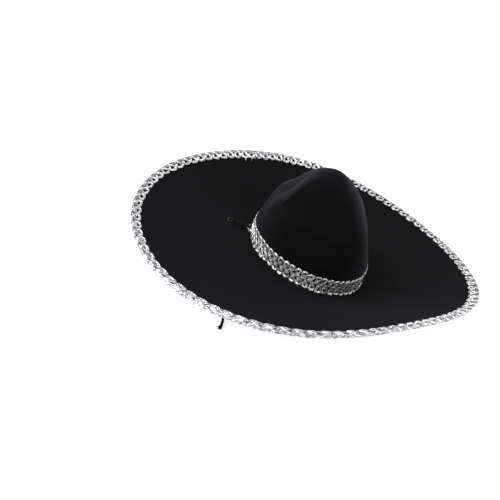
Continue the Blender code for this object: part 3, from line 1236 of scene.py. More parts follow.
    @staticmethod
    def smooth_route(points: Sequence[Vector], step: float) -> list[Vector]:
        """Points on the smooth curve through route points, about a step apart.

        Args:
            points: The route.
            step: Largest distance between points.

        Returns:
            The curve's points.
        """
        knots = [2 * points[0] - points[1], *points, 2 * points[-1] - points[-2]]
        smooth: list[Vector] = []
        for before, start, end, after in zip(knots, knots[1:], knots[2:], knots[3:]):
            count = max(2, math.ceil((end - start).length / step))
            for i in range(count):
                t = i / count
                smooth.append(0.5 * (2 * start + (end - before) * t
                                     + (2 * before - 5 * start + 4 * end - after) * t ** 2
                                     + (3 * start - before - 3 * end + after) * t ** 3))
        smooth.append(points[-1].copy())
        return smooth


def file_piece(obj: bpy.types.Object, body: Body, slot: Slot, *nodes: str) -> None:
    """Hands a finished piece to the frame.

    Args:
        obj: The piece.
        body: The body it rides on.
        slot: The record's material slot; not used.
        nodes: CAD nodes it stands for.
    """
    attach(obj, body.value)
    if nodes:
        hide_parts(*nodes)
    log.info("%s: %d faces, stands for %s", obj.name, len(obj.data.polygons), nodes or "nothing")


# ---- crown --------------------------------------------------------------------------------
@dataclass
class Crown:
    """The pinched felt crown.

    Args:
        form: The hat's form.
        finishes: The finishes.
        around: Columns round the crown.
        rows: Rows from foot to top.
    """

    form: HatForm
    finishes: Wardrobe
    around: int = 288
    rows: int = 110

    def shell(self) -> bpy.types.Object:
        """The crown's felt, outside and inside.

        Returns:
            The piece.
        """
        rises = [1 - (1 - j / self.rows) ** 1.35 for j in range(self.rows)] + [0.9995]
        rows = [[self.form.crown(TAU * i / self.around, rise) for i in range(self.around)]
                for rise in rises]
        pole = self.form.crown(0.0, 1.0)
        mesh = MeshShop.sheet("crown_felt", rows, pole)
        piece = MeshShop.link("crown_felt", mesh, self.finishes.crown_felt)
        return MeshShop.thicken(piece, self.form.crown_felt, -1.0)

    def build(self) -> None:
        """Makes and files the crown."""
        file_piece(self.shell(), Body.HAT, Slot.FELT, "crown")


# ---- brim ---------------------------------------------------------------------------------
@dataclass
class Brim:
    """The laminated brim: two felts, the board between them and the wire at its edge.

    Args:
        form: The hat's form.
        finishes: The finishes.
        felt: Thickness of each felt.
        around: Columns round the brim.
        rows: Rows from the flat ring to the edge.
        hole: Radius of the eyelet holes.
    """

    form: HatForm
    finishes: Wardrobe
    felt: float = 0.0010
    around: int = 256
    rows: int = 56
    hole: float = 0.0031

    def _rows(self, start: float, offset: float) -> list[list[Vector]]:
        """Rows of one layer, from its inner edge out.

        Args:
            start: Offset of the inner edge from the crown's foot.
            offset: Height over the brim's middle surface.

        Returns:
            The rows.
        """
        middle = self.form.brim_thick / 2
        angles = [TAU * i / self.around for i in range(self.around)]
        rows = [[self.form.oval(a, start, middle + offset) for a in angles],
                [self.form.oval(a, (start + self.form.flat_ring) / 2, middle + offset)
                 for a in angles]]
        for j in range(self.rows + 1):
            rows.append([self.form.brim_at(a, j / self.rows, offset) for a in angles])
        return rows

    def _punch(self, piece: bpy.types.Object, frames: Sequence["EyeletFrame"]) -> None:
        """Cuts the eyelet holes through one layer.

        Args:
            piece: The layer.
            frames: Where the eyelets stand.
        """
        for eyelet in frames:
            bm = bmesh.new()
            bmesh.ops.create_cone(bm, cap_ends=True, segments=32, radius1=self.hole,
                                  radius2=self.hole, depth=0.02, matrix=eyelet.place())
            mesh = bpy.data.meshes.new("hole")
            bm.to_mesh(mesh)
            bm.free()
            cutter = bpy.data.objects.new("hole", mesh)
            bpy.context.scene.collection.objects.link(cutter)
            cut = piece.modifiers.new("hole", "BOOLEAN")
            cut.operation = "DIFFERENCE"
            cut.solver = "EXACT"
            cut.object = cutter
            MeshShop.bake(piece)
            bpy.data.objects.remove(cutter, do_unlink=True)

    def build(self, frames: Sequence["EyeletFrame"]) -> None:
        """Makes and files the two felts and the wire.

        Args:
            frames: Where the eyelets go through.
        """
        offset = self.form.brim_thick / 2 - self.felt / 2
        mesh = MeshShop.sheet("brim_top", self._rows(0.0003, offset))
        top = MeshShop.link("brim_felt_top", mesh, self.finishes.brim_felt)
        MeshShop.thicken(top, self.felt, 0.0)
        self._punch(top, frames)
        file_piece(top, Body.HAT, Slot.FELT, "brim_top_felt")

        collar = -(self.form.crown_felt + 0.0003 + self.felt / 2)
        angles = [TAU * i / self.around for i in range(self.around)]
        rows = [[self.form.oval(a, collar, z) for a in angles]
                for z in (0.0120, 0.0080, 0.0040, 0.0017)]
        rows += [[self.form.oval(a, collar + 0.0004, 0.0009) for a in angles]]
        rows += self._rows(collar + 0.0014, -offset)
        mesh = MeshShop.sheet("brim_under", rows)
        under = MeshShop.link("brim_felt_under", mesh, self.finishes.under_felt)
        MeshShop.thicken(under, self.felt, 0.0)
        self._punch(under, frames)
        file_piece(under, Body.HAT, Slot.FELT, "brim_under_felt")

        points = [self.form.rim_at(a, -0.0013, 0.0) for a in angles]
        wire = MeshShop.link("rim_steel_wire", MeshShop.tube("rim_wire", points, 0.0010, 10, True),
                             self.finishes.wire)
        file_piece(wire, Body.HAT, Slot.WIRE, "rim_wire")


# ---- gimp ---------------------------------------------------------------------------------
class GimpTree:
    """Geometry Nodes that lay a bundle of strands in crossing loops along a strip."""

    INPUTS = (("Loops", "NodeSocketInt"), ("Points per loop", "NodeSocketInt"),
              ("Pitch", "NodeSocketFloat"), ("Strip width", "NodeSocketFloat"),
              ("Loop height", "NodeSocketFloat"), ("Middle", "NodeSocketFloat"),
              ("Swing", "NodeSocketFloat"), ("Strand radius", "NodeSocketFloat"),
              ("Strand spacing", "NodeSocketFloat"), ("Opening", "NodeSocketFloat"),
              ("Weave lift", "NodeSocketFloat"), ("Unevenness", "NodeSocketFloat"),
              ("Material", "NodeSocketMaterial"))

    def __init__(self, strands: int, sides: int = 6) -> None:
        """Builds the tree.

        Args:
            strands: Number of strands in the bundle.
            sides: Sides of each strand.
        """
        self.g = GeometryTree("gimp_loops", self.INPUTS)
        join = self.g.tree.nodes.new("GeometryNodeJoinGeometry")
        for number in range(strands):
            place = number - (strands - 1) / 2
            strand = self._strand(place, sides)
            self.g.tree.links.new(strand, join.inputs[0])
        self.g.close(join.outputs[0])

    def _sample(self, value: bpy.types.NodeSocket, spot: bpy.types.NodeSocket
                ) -> bpy.types.NodeSocket:
        """Reads a vector of the strip at a place on its UV map.

        Args:
            value: The vector on the strip.
            spot: The place as a UV vector.

        Returns:
            The vector there.
        """
        sheet = self.g.node("GeometryNodeInputNamedAttribute", data_type="FLOAT_VECTOR")
        sheet.inputs["Name"].default_value = "strip"
        node = self.g.node("GeometryNodeSampleUVSurface", data_type="FLOAT_VECTOR")
        links = self.g.tree.links
        links.new(self.g.entry.outputs["Geometry"], live(node.inputs, "Mesh"))
        links.new(value, live(node.inputs, "Value"))
        links.new(live(sheet.outputs, "Attribute"), live(node.inputs, "UV Map"))
        links.new(spot, live(node.inputs, "Sample UV"))
        return live(node.outputs, "Value")

    def _strand(self, place: float, sides: int) -> bpy.types.NodeSocket:
        """One strand of the bundle.

        Args:
            place: Its place across the bundle, 0 in the middle.
            sides: Its number of sides.

        Returns:
            The strand's mesh.
        """
        g = self.g
        links = g.tree.links
        loops, pitch = g.input("Loops"), g.input("Pitch")
        count = loops * g.input("Points per loop")
        ring = g.node("GeometryNodeCurvePrimitiveCircle")
        links.new(count.socket, live(ring.inputs, "Resolution"))
        turn = g.field("GeometryNodeInputIndex") / count
        phase = turn * loops * TAU
        height, swing = g.input("Loop height"), g.input("Swing")

        wander = []
        for seed in (1.7, 9.3, 21.1):
            where = g.node("ShaderNodeCombineXYZ")
            radius = loops * 0.11
            links.new(((turn * TAU).cos() * radius).socket, where.inputs[0])
            links.new(((turn * TAU).sin() * radius).socket, where.inputs[1])
            where.inputs[2].default_value = seed
            noise = g.field("ShaderNodeTexNoise", 0, {"Vector": where.outputs[0], "Scale": 1.0})
            wander.append((noise - 0.5) * g.input("Unevenness"))

        along = pitch * (turn * loops) - swing * pitch * (phase * 2.0).sin()
        across = height * phase.cos() * (wander[0] + 1.0)
        slope_u = pitch / TAU - swing * pitch * 2.0 * (phase * 2.0).cos()
        slope_v = height * phase.sin() * -1.0
        length = (slope_u * slope_u + slope_v * slope_v).root()
        spread = (phase.cos().size() * -1.0 + 1.0) * g.input("Opening") + 1.0
        offset = g.input("Strand spacing") * place * spread
        along = along - offset * slope_v / length + wander[1] * pitch * 0.6
        across = across + offset * slope_u / length

        spot = g.node("ShaderNodeCombineXYZ")
        links.new((along / (pitch * loops)).wrapped().socket, spot.inputs[0])
        share = (across + g.input("Middle")) / g.input("Strip width")
        links.new(share.above(0.001).below(0.999).socket, spot.inputs[1])
        position = g.node("GeometryNodeInputPosition").outputs[0]
        lift_attribute = g.node("GeometryNodeInputNamedAttribute", data_type="FLOAT_VECTOR")
        lift_attribute.inputs["Name"].default_value = "lift"
        base = self._sample(position, spot.outputs[0])
        lift = self._sample(live(lift_attribute.outputs, "Attribute"), spot.outputs[0])
        rise = phase.sin() * g.input("Weave lift") + wander[2] * g.input("Weave lift") * 0.7
        rise = rise - g.input("Strand radius") * (0.9 if abs(place) > 1 else 0.0)
        scaled = g.node("ShaderNodeVectorMath", operation="SCALE")
        links.new(lift, scaled.inputs[0])
        links.new(rise.socket, live(scaled.inputs, "Scale"))
        total = g.node("ShaderNodeVectorMath", operation="ADD")
        links.new(base, total.inputs[0])
        links.new(scaled.outputs[0], total.inputs[1])

        lengthwise = g.node("GeometryNodeStoreNamedAttribute", data_type="FLOAT",
                            domain="POINT")
        links.new(ring.outputs[0], lengthwise.inputs["Geometry"])
        lengthwise.inputs["Name"].default_value = "along"
        links.new((turn * loops).socket, live(lengthwise.inputs, "Value"))
        # The outer strands are flagged in "edge"; their material paints them darker, a painted shade.
        edge = g.node("GeometryNodeStoreNamedAttribute", data_type="FLOAT", domain="POINT")
        links.new(lengthwise.outputs[0], edge.inputs["Geometry"])
        edge.inputs["Name"].default_value = "edge"
        live(edge.inputs, "Value").default_value = 1.0 if abs(place) > 1 else 0.0
        # The place across the strip goes into "across"; the rim's material uses it to paint shade
        # towards the strip's lower edge.
        side = g.node("GeometryNodeStoreNamedAttribute", data_type="FLOAT", domain="POINT")
        links.new(edge.outputs[0], side.inputs["Geometry"])
        side.inputs["Name"].default_value = "across"
        links.new(share.socket, live(side.inputs, "Value"))
        laid = g.node("GeometryNodeSetPosition", {"Geometry": side.outputs[0],
                                                  "Position": total.outputs[0]})
        section = g.node("GeometryNodeCurvePrimitiveCircle")
        live(section.inputs, "Resolution").default_value = sides
        links.new(g.input("Strand radius").socket, live(section.inputs, "Radius"))
        round_about = g.node("GeometryNodeStoreNamedAttribute", data_type="FLOAT",
                             domain="POINT")
        links.new(section.outputs[0], round_about.inputs["Geometry"])
        round_about.inputs["Name"].default_value = "around"
        links.new((g.field("GeometryNodeInputIndex") / float(sides)).socket,
                  live(round_about.inputs, "Value"))
        body = g.node("GeometryNodeCurveToMesh", {"Curve": laid.outputs[0],
                                                  "Profile Curve": round_about.outputs[0]})
        return body.outputs[0]


@dataclass
class RimGimp:
    """The looped silver gimp folded over the rim, with its frayed lap at the back.

    Args:
        form: The hat's form.
        finishes: The finishes.
        loops: Number of loops round the rim.
        over: Reach of the strip over the top, from the felt's edge.
        under: Reach underneath.
        fold: Radius of the fold.
        lap: Angle of the lap, in degrees from +X.
        around: Columns of the carrier strip.
        centre: Middle of the fold, inward from the felt's edge.
    """

    form: HatForm
    finishes: Wardrobe
    loops: int = 96
    over: float = 0.0122
    under: float = 0.0100
    fold: float = 0.00275
    lap: float = 88.0
    around: int = 352
    centre: float = -0.00065

    def _profile(self) -> list[tuple[float, float, float, float]]:
        """The strip's section from under the brim over the fold to the top.

        Returns:
            Inward distance, height and the two parts of the outward lift at each point.
        """
        centre = self.centre
        section = []
        for j in range(9):
            section.append((self.under + (centre - self.under) * j / 9, -self.fold, 0.0, -1.0))
        for j in range(13):
            turn = math.pi * j / 12 - math.pi / 2
            section.append((centre - self.fold * math.cos(turn), self.fold * math.sin(turn),
                            -math.cos(turn), math.sin(turn)))
        for j in range(1, 11):
            section.append((centre + (self.over - centre) * j / 10, self.fold, 0.0, 1.0))
        return section

    def strip(self) -> tuple[bpy.types.Object, float]:
        """The surface that the strands follow, and its width.

        Returns:
            The carrier object and the strip's width in metres.
        """
        section = self._profile()
        widths = [0.0]
        for a, b in zip(section, section[1:]):
            widths.append(widths[-1] + math.hypot(b[0] - a[0], b[1] - a[1]))
        even = []
        steps = 40
        for j in range(steps + 1):
            target = widths[-1] * j / steps
            k = max(i for i in range(len(widths)) if widths[i] <= target + 1e-12)
            k = min(k, len(section) - 2)
            t = (target - widths[k]) / (widths[k + 1] - widths[k])
            even.append(tuple(a + (b - a) * t for a, b in zip(section[k], section[k + 1])))
        rows, lifts = [], []
        for inward, height, lift_in, lift_up in even:
            row, lift = [], []
            flat_in = inward
            for i in range(self.around):
                angle = math.radians(self.lap) + TAU * i / self.around
                wider = 0.28 * math.cos(angle - math.pi / 4) if height > 0 else 0.0
                inward = flat_in * (1 + wider) if flat_in > 0 else flat_in
                row.append(self.form.rim_at(angle, inward, height))
                lift.append((self.form.rim_at(angle, inward + lift_in * 0.01,
                                              height + lift_up * 0.01) - row[-1]).normalized())
            rows.append(row)
            lifts.append(lift)
        mesh = MeshShop.sheet("rim_strip", rows, None, lifts)
        return MeshShop.link("rim_strip", mesh), widths[-1]

    def loops_piece(self) -> bpy.types.Object:
        """The gimp's looped bundle.

        Returns:
            The piece.
        """
        carrier, width = self.strip()
        edge = [self.form.felt_edge(TAU * i / 360) for i in range(360)]
        round_length = sum((edge[i] - edge[i - 1]).length for i in range(360))
        return GimpTree(4).g.bake(
            "rim_gimp_loops", carrier, loops=self.loops, points_per_loop=30,
            pitch=round_length / self.loops, strip_width=width,
            loop_height=(width - 0.0044) / 2, middle=width / 2, swing=0.46,
            strand_radius=0.00056, strand_spacing=0.00106, opening=0.35,
            weave_lift=0.0006, unevenness=0.34, material=self.finishes.rim_silver)

    def core_threads(self) -> bpy.types.Object:
        """Wavy threads that run along the fold under the loops.

        Returns:
            The piece.
        """
        meshes = []
        steps = 11 * self.loops
        for number, turn in enumerate((-62.0, -31.0, 0.0, 31.0, 62.0)):
            points = []
            for i in range(steps):
                share = i / steps
                sway = math.radians(turn + 13.0 * math.sin(TAU * (self.loops * share + number / 3)))
                reach = self.fold + 0.00045 * math.sin(TAU * (2 * self.loops * share + number / 5))
                points.append(self.form.rim_at(math.radians(self.lap) + TAU * share,
                                               self.centre - reach * math.cos(sway),
                                               reach * math.sin(sway)))
            meshes.append(MeshShop.tube("core", points, 0.00052, 6, True))
        for number in range(3):
            points = []
            for i in range(steps):
                angle = math.radians(self.lap) + TAU * i / steps
                near = 0.5 - 0.5 * math.cos(angle - math.pi / 4)
                sway = math.sin(TAU * (self.loops * i / steps + number / 3))
                points.append(self.form.rim_at(angle, near * (0.0006 + 0.0026 * number)
                                               + 0.0011 * sway, self.fold - 0.0003 * sway))
            meshes.append(MeshShop.tube("filling", points, 0.00046, 6, True))
        return MeshShop.join("rim_core_threads", meshes, self.finishes.core_silver)

    def frayed_ends(self) -> bpy.types.Object:
        """Loose threads where the gimp's ends lap, and a whisker beside them.

        Returns:
            The piece.
        """
        rng = np.random.default_rng(58)
        meshes = []
        for number in range(16):
            spread = rng.normal(0.0, 0.010)
            angle = math.radians(self.lap) + spread / 0.206
            start = self.form.rim_at(angle, rng.uniform(-0.002, 0.010), self.fold)
            lean = self.form.rim_at(angle + rng.normal(0, 0.03), rng.uniform(0.010, 0.026),
                                    self.fold + rng.uniform(0.001, 0.006)) - start
            reach = rng.uniform(0.5, 1.0)
            route = [start, start + lean * 0.4 * reach + Vector((0, 0, 0.0012)),
                     start + lean * reach + Vector(rng.normal(0, 0.0015, 3))]
            points = MeshShop.smooth_route(route, 0.0025)
            radii = [0.00032 - 0.00020 * i / len(points) for i in range(len(points))]
            meshes.append(MeshShop.tube("thread", points, radii, 5))
        start = self.form.rim_at(math.radians(77.6), 0.002, self.fold)
        route = [start, start + Vector((0.001, 0.003, 0.006)),
                 start + Vector((0.0005, 0.001, 0.012))]
        meshes.append(MeshShop.tube("whisker", MeshShop.smooth_route(route, 0.002), 0.00028, 5))
        return MeshShop.join("rim_frayed_threads", meshes, self.finishes.frayed_silver)

    def build(self) -> None:
        """Makes and files the rim's gimp."""
        file_piece(self.loops_piece(), Body.HAT, Slot.GIMP, "rim_gimp")
        file_piece(self.core_threads(), Body.HAT, Slot.GIMP)
        file_piece(self.frayed_ends(), Body.HAT, Slot.GIMP)


@dataclass
class CrownGimp:
    """The looped silver gimp round the crown.

    Args:
        form: The hat's form.
        finishes: The finishes.
        loops: Number of loops round the crown.
        high: Upper edge of the band.
        around: Columns of the carrier strip.
    """

    form: HatForm
    finishes: Wardrobe
    loops: int = 58
    high: float = 0.0296
    around: int = 324

    def _reach(self, angle: float) -> float:
        """How far the foot spreads on the brim, most where the cord presses it at the back.

        Args:
            angle: Angle from +X, in radians.

        Returns:
            The spread in metres.
        """
        away = abs((angle - math.pi / 2 + math.pi) % TAU - math.pi)
        share = min(max((math.radians(52.0) - away) / math.radians(3.0), 0.0), 1.0)
        return 0.0002 + 0.0060 * share

    def strip(self) -> tuple[bpy.types.Object, float]:
        """The surface that the strands follow, and its mean width.

        Returns:
            The carrier object and the strip's width in metres.
        """
        rows: list[list[Vector]] = []
        lifts: list[list[Vector]] = []
        steps = 36
        for j in range(steps + 1):
            row, lift = [], []
            for i in range(self.around):
                angle = math.radians(95.0) + TAU * i / self.around
                reach = self._reach(angle)
                section = [(2.6e-3 + reach, 4.7e-3), (2.2e-3, 5.2e-3), (1.3e-3, 6.4e-3),
                           (0.8e-3, 8.5e-3), (0.75e-3, 15.0e-3), (0.95e-3, self.high)]
                lengths = [0.0]
                for a, b in zip(section, section[1:]):
                    lengths.append(lengths[-1] + math.hypot(b[0] - a[0], b[1] - a[1]))
                target = lengths[-1] * j / steps
                k = min(max(n for n in range(len(lengths)) if lengths[n] <= target + 1e-12),
                        len(section) - 2)
                t = (target - lengths[k]) / (lengths[k + 1] - lengths[k])
                offset = section[k][0] + (section[k + 1][0] - section[k][0]) * t
                height = section[k][1] + (section[k + 1][1] - section[k][1]) * t
                row.append(self.form.oval(angle, offset, height))
                out = self.form.oval(angle, offset + 0.01, height) - row[-1]
                tilt = min(max((0.0075 - height) / 0.003, 0.0), 1.0)
                lift.append((out.normalized() * (1 - tilt) + Vector((0, 0, 1)) * tilt
                             ).normalized())
            rows.append(row)
            lifts.append(lift)
        mesh = MeshShop.sheet("crown_strip", rows, None, lifts)
        return MeshShop.link("crown_strip", mesh), 0.0282

    def build(self) -> None:
        """Makes and files the crown's gimp."""
        carrier, width = self.strip()
        foot = [self.form.oval(TAU * i / 360, 0.001, 0.0) for i in range(360)]
        round_length = sum((foot[i] - foot[i - 1]).length for i in range(360))
        piece = GimpTree(4).g.bake(
            "crown_gimp_loops", carrier, loops=self.loops, points_per_loop=28,
            pitch=round_length / self.loops, strip_width=width,
            loop_height=(width - 0.0032) / 2, middle=width / 2, swing=0.46,
            strand_radius=0.00037, strand_spacing=0.00072, opening=0.9,
            weave_lift=0.00062, unevenness=0.46, material=self.finishes.crown_silver)
        file_piece(piece, Body.HAT, Slot.GIMP, "crown_gimp")


# ---- sweatband ----------------------------------------------------------------------------
class StitchTree:
    """Geometry Nodes that set short stitches along a ring of points."""

    INPUTS = (("Stitches", "NodeSocketInt"), ("Length", "NodeSocketFloat"),
              ("Thickness", "NodeSocketFloat"), ("Material", "NodeSocketMaterial"))

    def __init__(self) -> None:
        """Builds the tree."""
        self.g = GeometryTree("stitch_row", self.INPUTS)
        g = self.g
        links = g.tree.links
        path = g.node("GeometryNodeMeshToCurve", {"Mesh": g.entry.outputs["Geometry"]})
        even = g.node("GeometryNodeResampleCurve", {"Curve": path.outputs[0]})
        links.new(g.input("Stitches").socket, live(even.inputs, "Count"))
        tangent = g.node("GeometryNodeInputTangent").outputs[0]
        turn = g.node("FunctionNodeAlignRotationToVector", axis="X")
        links.new(tangent, live(turn.inputs, "Vector"))
        thread = g.node("GeometryNodeMeshUVSphere")
        live(thread.inputs, "Segments").default_value = 8
        live(thread.inputs, "Rings").default_value = 5
        live(thread.inputs, "Radius").default_value = 1.0
        size = g.node("ShaderNodeCombineXYZ")
        links.new((g.input("Length") * 0.5).socket, size.inputs[0])
        links.new((g.input("Thickness") * 0.5).socket, size.inputs[1])
        links.new((g.input("Thickness") * 0.5).socket, size.inputs[2])
        rows = g.node("GeometryNodeInstanceOnPoints", {
            "Points": even.outputs[0], "Instance": thread.outputs["Mesh"],
            "Rotation": live(turn.outputs, "Rotation"), "Scale": size.outputs[0]})
        g.close(rows.outputs[0])

    @staticmethod
    def ring(name: str, points: Sequence[Vector]) -> bpy.types.Object:
        """A closed ring of edges to carry the stitches.

        Args:
            name: Name of the ring.
            points: Its points in order.

        Returns:
            The ring object.
        """
        mesh = bpy.data.meshes.new(name)
        count = len(points)
        mesh.from_pydata([tuple(p) for p in points], [(i, (i + 1) % count) for i in range(count)],
                         [])
        obj = bpy.data.objects.new(name, mesh)
        bpy.context.scene.collection.objects.link(obj)
        return obj


@dataclass
class Sweatband:
    """The ribbed tape inside the head opening, stitched along both edges.

    Args:
        form: The hat's form.
        finishes: The finishes.
        low: Lower edge.
        high: Upper edge.
        thick: Thickness of the tape.
        around: Columns round the band.
    """

    form: HatForm
    finishes: Wardrobe
    low: float = 0.0006
    high: float = 0.0320
    thick: float = 0.0012
    around: int = 256

    def build(self) -> None:
        """Makes and files the tape and its stitches."""
        offset = -0.0042
        angles = [TAU * i / self.around for i in range(self.around)]
        rows = []
        for j in range(25):
            height = self.low + (self.high - self.low) * j / 24
            belly = 0.00025 * math.sin(math.pi * j / 24)
            rows.append([self.form.oval(a, offset - belly - 0.0001 * math.sin(9 * a), height)
                         for a in angles])
        band = MeshShop.link("sweatband_tape", MeshShop.sheet("sweatband", rows),
                             self.finishes.tape)
        MeshShop.thicken(band, self.thick * 0.9, 0.0)
        file_piece(band, Body.HAT, Slot.TAPE, "sweatband")
        tree = StitchTree()
        for name, height in (("sweatband_stitches_low", 0.0038), ("sweatband_stitches_high", 0.0292)):
            ring = StitchTree.ring(name, [self.form.oval(a, offset - 0.00085, height)
                                          for a in angles])
            piece = tree.g.bake(name, ring, stitches=170, length=0.0026, thickness=0.0005,
                                material=self.finishes.stitch)
            file_piece(piece, Body.HAT, Slot.TAPE)


# ---- eyelets and chin cord ----------------------------------------------------------------
@dataclass(frozen=True)
class EyeletFrame:
    """Where an eyelet stands on the brim.

    Args:
        form: The hat's form.
        angle: Its angle from +X, in degrees.
        share: How far out it stands between flat ring and rim.
    """

    form: HatForm
    angle: float
    share: float = 0.18

    def parts(self) -> tuple[Vector, Vector, Vector]:
        """Its centre, the direction outwards and the brim's normal.

        Returns:
            The three vectors.
        """
        turn = math.radians(self.angle)
        normal = self.form.brim_normal(turn, self.share)
        outwards = Vector((math.cos(turn), math.sin(turn), 0.0))
        outwards = (outwards - outwards.dot(normal) * normal).normalized()
        return self.form.brim(turn, self.share), outwards, normal

    def place(self) -> Matrix:
        """The matrix of something turned about the eyelet's axis.

        Returns:
            The matrix.
        """
        centre, _, normal = self.parts()
        turn = Vector((0.0, 0.0, 1.0)).rotation_difference(normal).to_matrix().to_4x4()
        return Matrix.Translation(centre) @ turn

    def run(self, points: Profile) -> list[Vector]:
        """Points given as distance outwards and height."""
        centre, outwards, normal = self.parts()
        return [centre + along * outwards + height * normal for along, height in points]


@dataclass
class Eyelet:
    """A rolled black eyelet through the brim.

    Args:
        spot: Where it stands.
        side: The wearer's side.
        finishes: The finishes.
    """

    spot: EyeletFrame
    side: Side
    finishes: Wardrobe
    bore: float = 0.00245
    flange: float = 0.0046

    def build(self) -> None:
        """Makes and files the eyelet."""
        half = [(self.bore, 0.0), (self.bore, 0.0019), (self.bore + 0.00015, 0.00235),
                (self.bore + 0.0006, 0.00252), (self.flange - 0.0005, 0.00248),
                (self.flange, 0.00225), (self.flange - 0.0001, 0.00202),
                (self.bore + 0.0005, 0.0020), (self.bore + 0.0004, 0.0017)]
        profile = half + [(r, -z) for r, z in reversed(half)][:-1]
        mesh = MeshShop.lathe("eyelet", profile, 40, self.spot.place())
        piece = MeshShop.link(f"eyelet_ring_{self.side.value}", mesh, self.finishes.eyelet)
        file_piece(piece, Body.HAT, Slot.EYELET, f"eyelet_{self.side.value}")


@dataclass
class Strand:
    """One free end of the chin cord, from its eyelet to its knot and tail.

    Args:
        side: The wearer's side.
        spot: Its eyelet.
        route: Route points under the brim.
        knot: Centre of the knot.
        tail: Route points beyond the knot.
    """

    side: Side
    spot: EyeletFrame
    route: Sequence[tuple[float, float, float]]
    knot: tuple[float, float, float]
    tail: Sequence[tuple[float, float, float]]


@dataclass
class ChinCord:
    """The chin cord: round the back of the crown, through both eyelets and under the brim.

    Args:
        form: The hat's form.
        finishes: The finishes.
        radius: Radius of the cord.
        knot_radius: Radius of a knot.
    """

    form: HatForm
    finishes: Wardrobe
    left: Strand
    right: Strand
    radius: float = 0.00175
    knot_radius: float = 0.0045
    hump: Profile = ((0.0, 0.00015), (0.0, 0.0020), (-0.0003, 0.0036), (-0.0014, 0.0054),
                     (-0.0034, 0.0066), (-0.0062, 0.0068))
    drop: Profile = ((0.0, -0.00015), (0.0, -0.0019), (0.0003, -0.0029))

    def _tube(self, name: str, points: Sequence[Vector]) -> bpy.types.Object:
        """A length of cord with slightly eased ends.

        Args:
            name: Name of the piece.
            points: Its route.

        Returns:
            The piece.
        """
        radii = [self.radius] * len(points)
        radii[0] = radii[-1] = self.radius * 0.86
        return MeshShop.link(name, MeshShop.tube(name, points, radii, 14), self.finishes.cord)

    def _tail(self, name: str, points: Sequence[Vector]) -> bpy.types.Object:
        """A cord's tail, its braid burst open and frayed at the tip.

        Args:
            name: Name of the piece.
            points: Its route, tip last.

        Returns:
            The piece.
        """
        rng = np.random.default_rng(31)
        count = len(points)
        radii = []
        raised = []
        for i, point in enumerate(points):
            open_share = max(0.0, 1 - (count - 1 - i) / 3.5)
            radii.append(self.radius * (1 + 0.35 * open_share))
            raised.append(point + Vector((0.0, 0.0, 0.0006 * open_share)))
        radii[0] = self.radius * 0.86
        meshes = [MeshShop.tube(name, raised, radii, 14)]
        ahead = (points[-1] - points[-2]).normalized()
        across = Vector((-ahead.y, ahead.x, 0.0))
        for i in range(26):
            spot = rng.normal(0.0, 0.0010, 2)
            start = raised[-1] - ahead * 0.001 + across * spot[0] + Vector((0, 0, spot[1] * 0.8))
            start.z = max(start.z, 0.0004)
            lean = ahead * rng.uniform(0.0025, 0.0045) + across * (spot[0] * 1.1)
            end = start + lean + Vector((0, 0, spot[1] * 0.5))
            end.z = max(end.z, 0.0004)
            meshes.append(MeshShop.tube("fibre", [start, start.lerp(end, 0.5), end],
                                        [0.00035, 0.0003, 0.00018], 5))
        return MeshShop.join(name, meshes, self.finishes.cord)

    def crown_stretch(self) -> None:
        """The cord over the brim and round the back of the crown's foot."""
        foot = [self.form.oval(math.radians(d), 0.0043, 0.0080) for d in range(138, 41, -6)]
        points = self.left.spot.run(self.hump) + foot
        points += list(reversed(self.right.spot.run(self.hump)))
        piece = self._tube("cord_round_crown", MeshShop.smooth_route(points, 0.0024))
        file_piece(piece, Body.HAT, Slot.CORD, "chin_cord_crown")

    def _knot(self, name: str, centre: Vector, heading: Vector) -> bpy.types.Object:
        """An overhand knot, drawn tight.

        Args:
            name: The piece's name.
            centre: Its centre.
            heading: Direction of the cord through it.

        Returns:
            The knot.
        """
        heading = Vector((heading.x, heading.y, 0.0)).normalized()
        side = Vector((-heading.y, heading.x, 0.0))
        up = Vector((0.0, 0.0, 1.0))
        points = []
        for i in range(72):
            t = TAU * i / 72
            x, y, z = (math.sin(t) + 2 * math.sin(2 * t), math.cos(t) - 2 * math.cos(2 * t),
                       -math.sin(3 * t))
            points.append(centre + 0.00098 * (x * heading + y * up) + 0.0016 * z * side)
        mesh = MeshShop.tube(name, points, 0.00150, 12, True)
        return MeshShop.link(name, mesh, self.finishes.cord)

    def strand(self, end: Strand) -> None:
        """One free strand with its knot and tail.

        Args:
            end: Which strand.
        """
        side = end.side.value
        route = [Vector(p) for p in end.route]
        tail = [Vector(p) for p in end.tail]
        knot = Vector(end.knot)
        gap = self.knot_radius + 0.0003
        last = knot + (route[-1] - knot).normalized() * gap
        points = MeshShop.smooth_route(end.spot.run(self.drop) + route + [last], 0.0024)
        first = knot + (tail[0] - knot).normalized() * gap
        tail_points = MeshShop.smooth_route([first, *tail], 0.0024)
        cord = self._tube(f"cord_strand_{side}", points)
        loose = self._tail(f"cord_end_{side}", tail_points)
        tied = self._knot(f"cord_knot_{side}", knot, tail[0] - route[-1])
        file_piece(cord, Body.HAT, Slot.CORD, f"chin_cord_{side}")
        file_piece(loose, Body.HAT, Slot.CORD, f"cord_tail_{side}")
        file_piece(tied, Body.HAT, Slot.CORD, f"knot_{side}")
        length = sum((b - a).length for a, b in zip(points, points[1:]))
        log.info("cord strand %s is %.3f m long", side, length)

    def build(self) -> None:
        """Makes and files the whole cord."""
        self.crown_stretch()
        self.strand(self.left)
        self.strand(self.right)


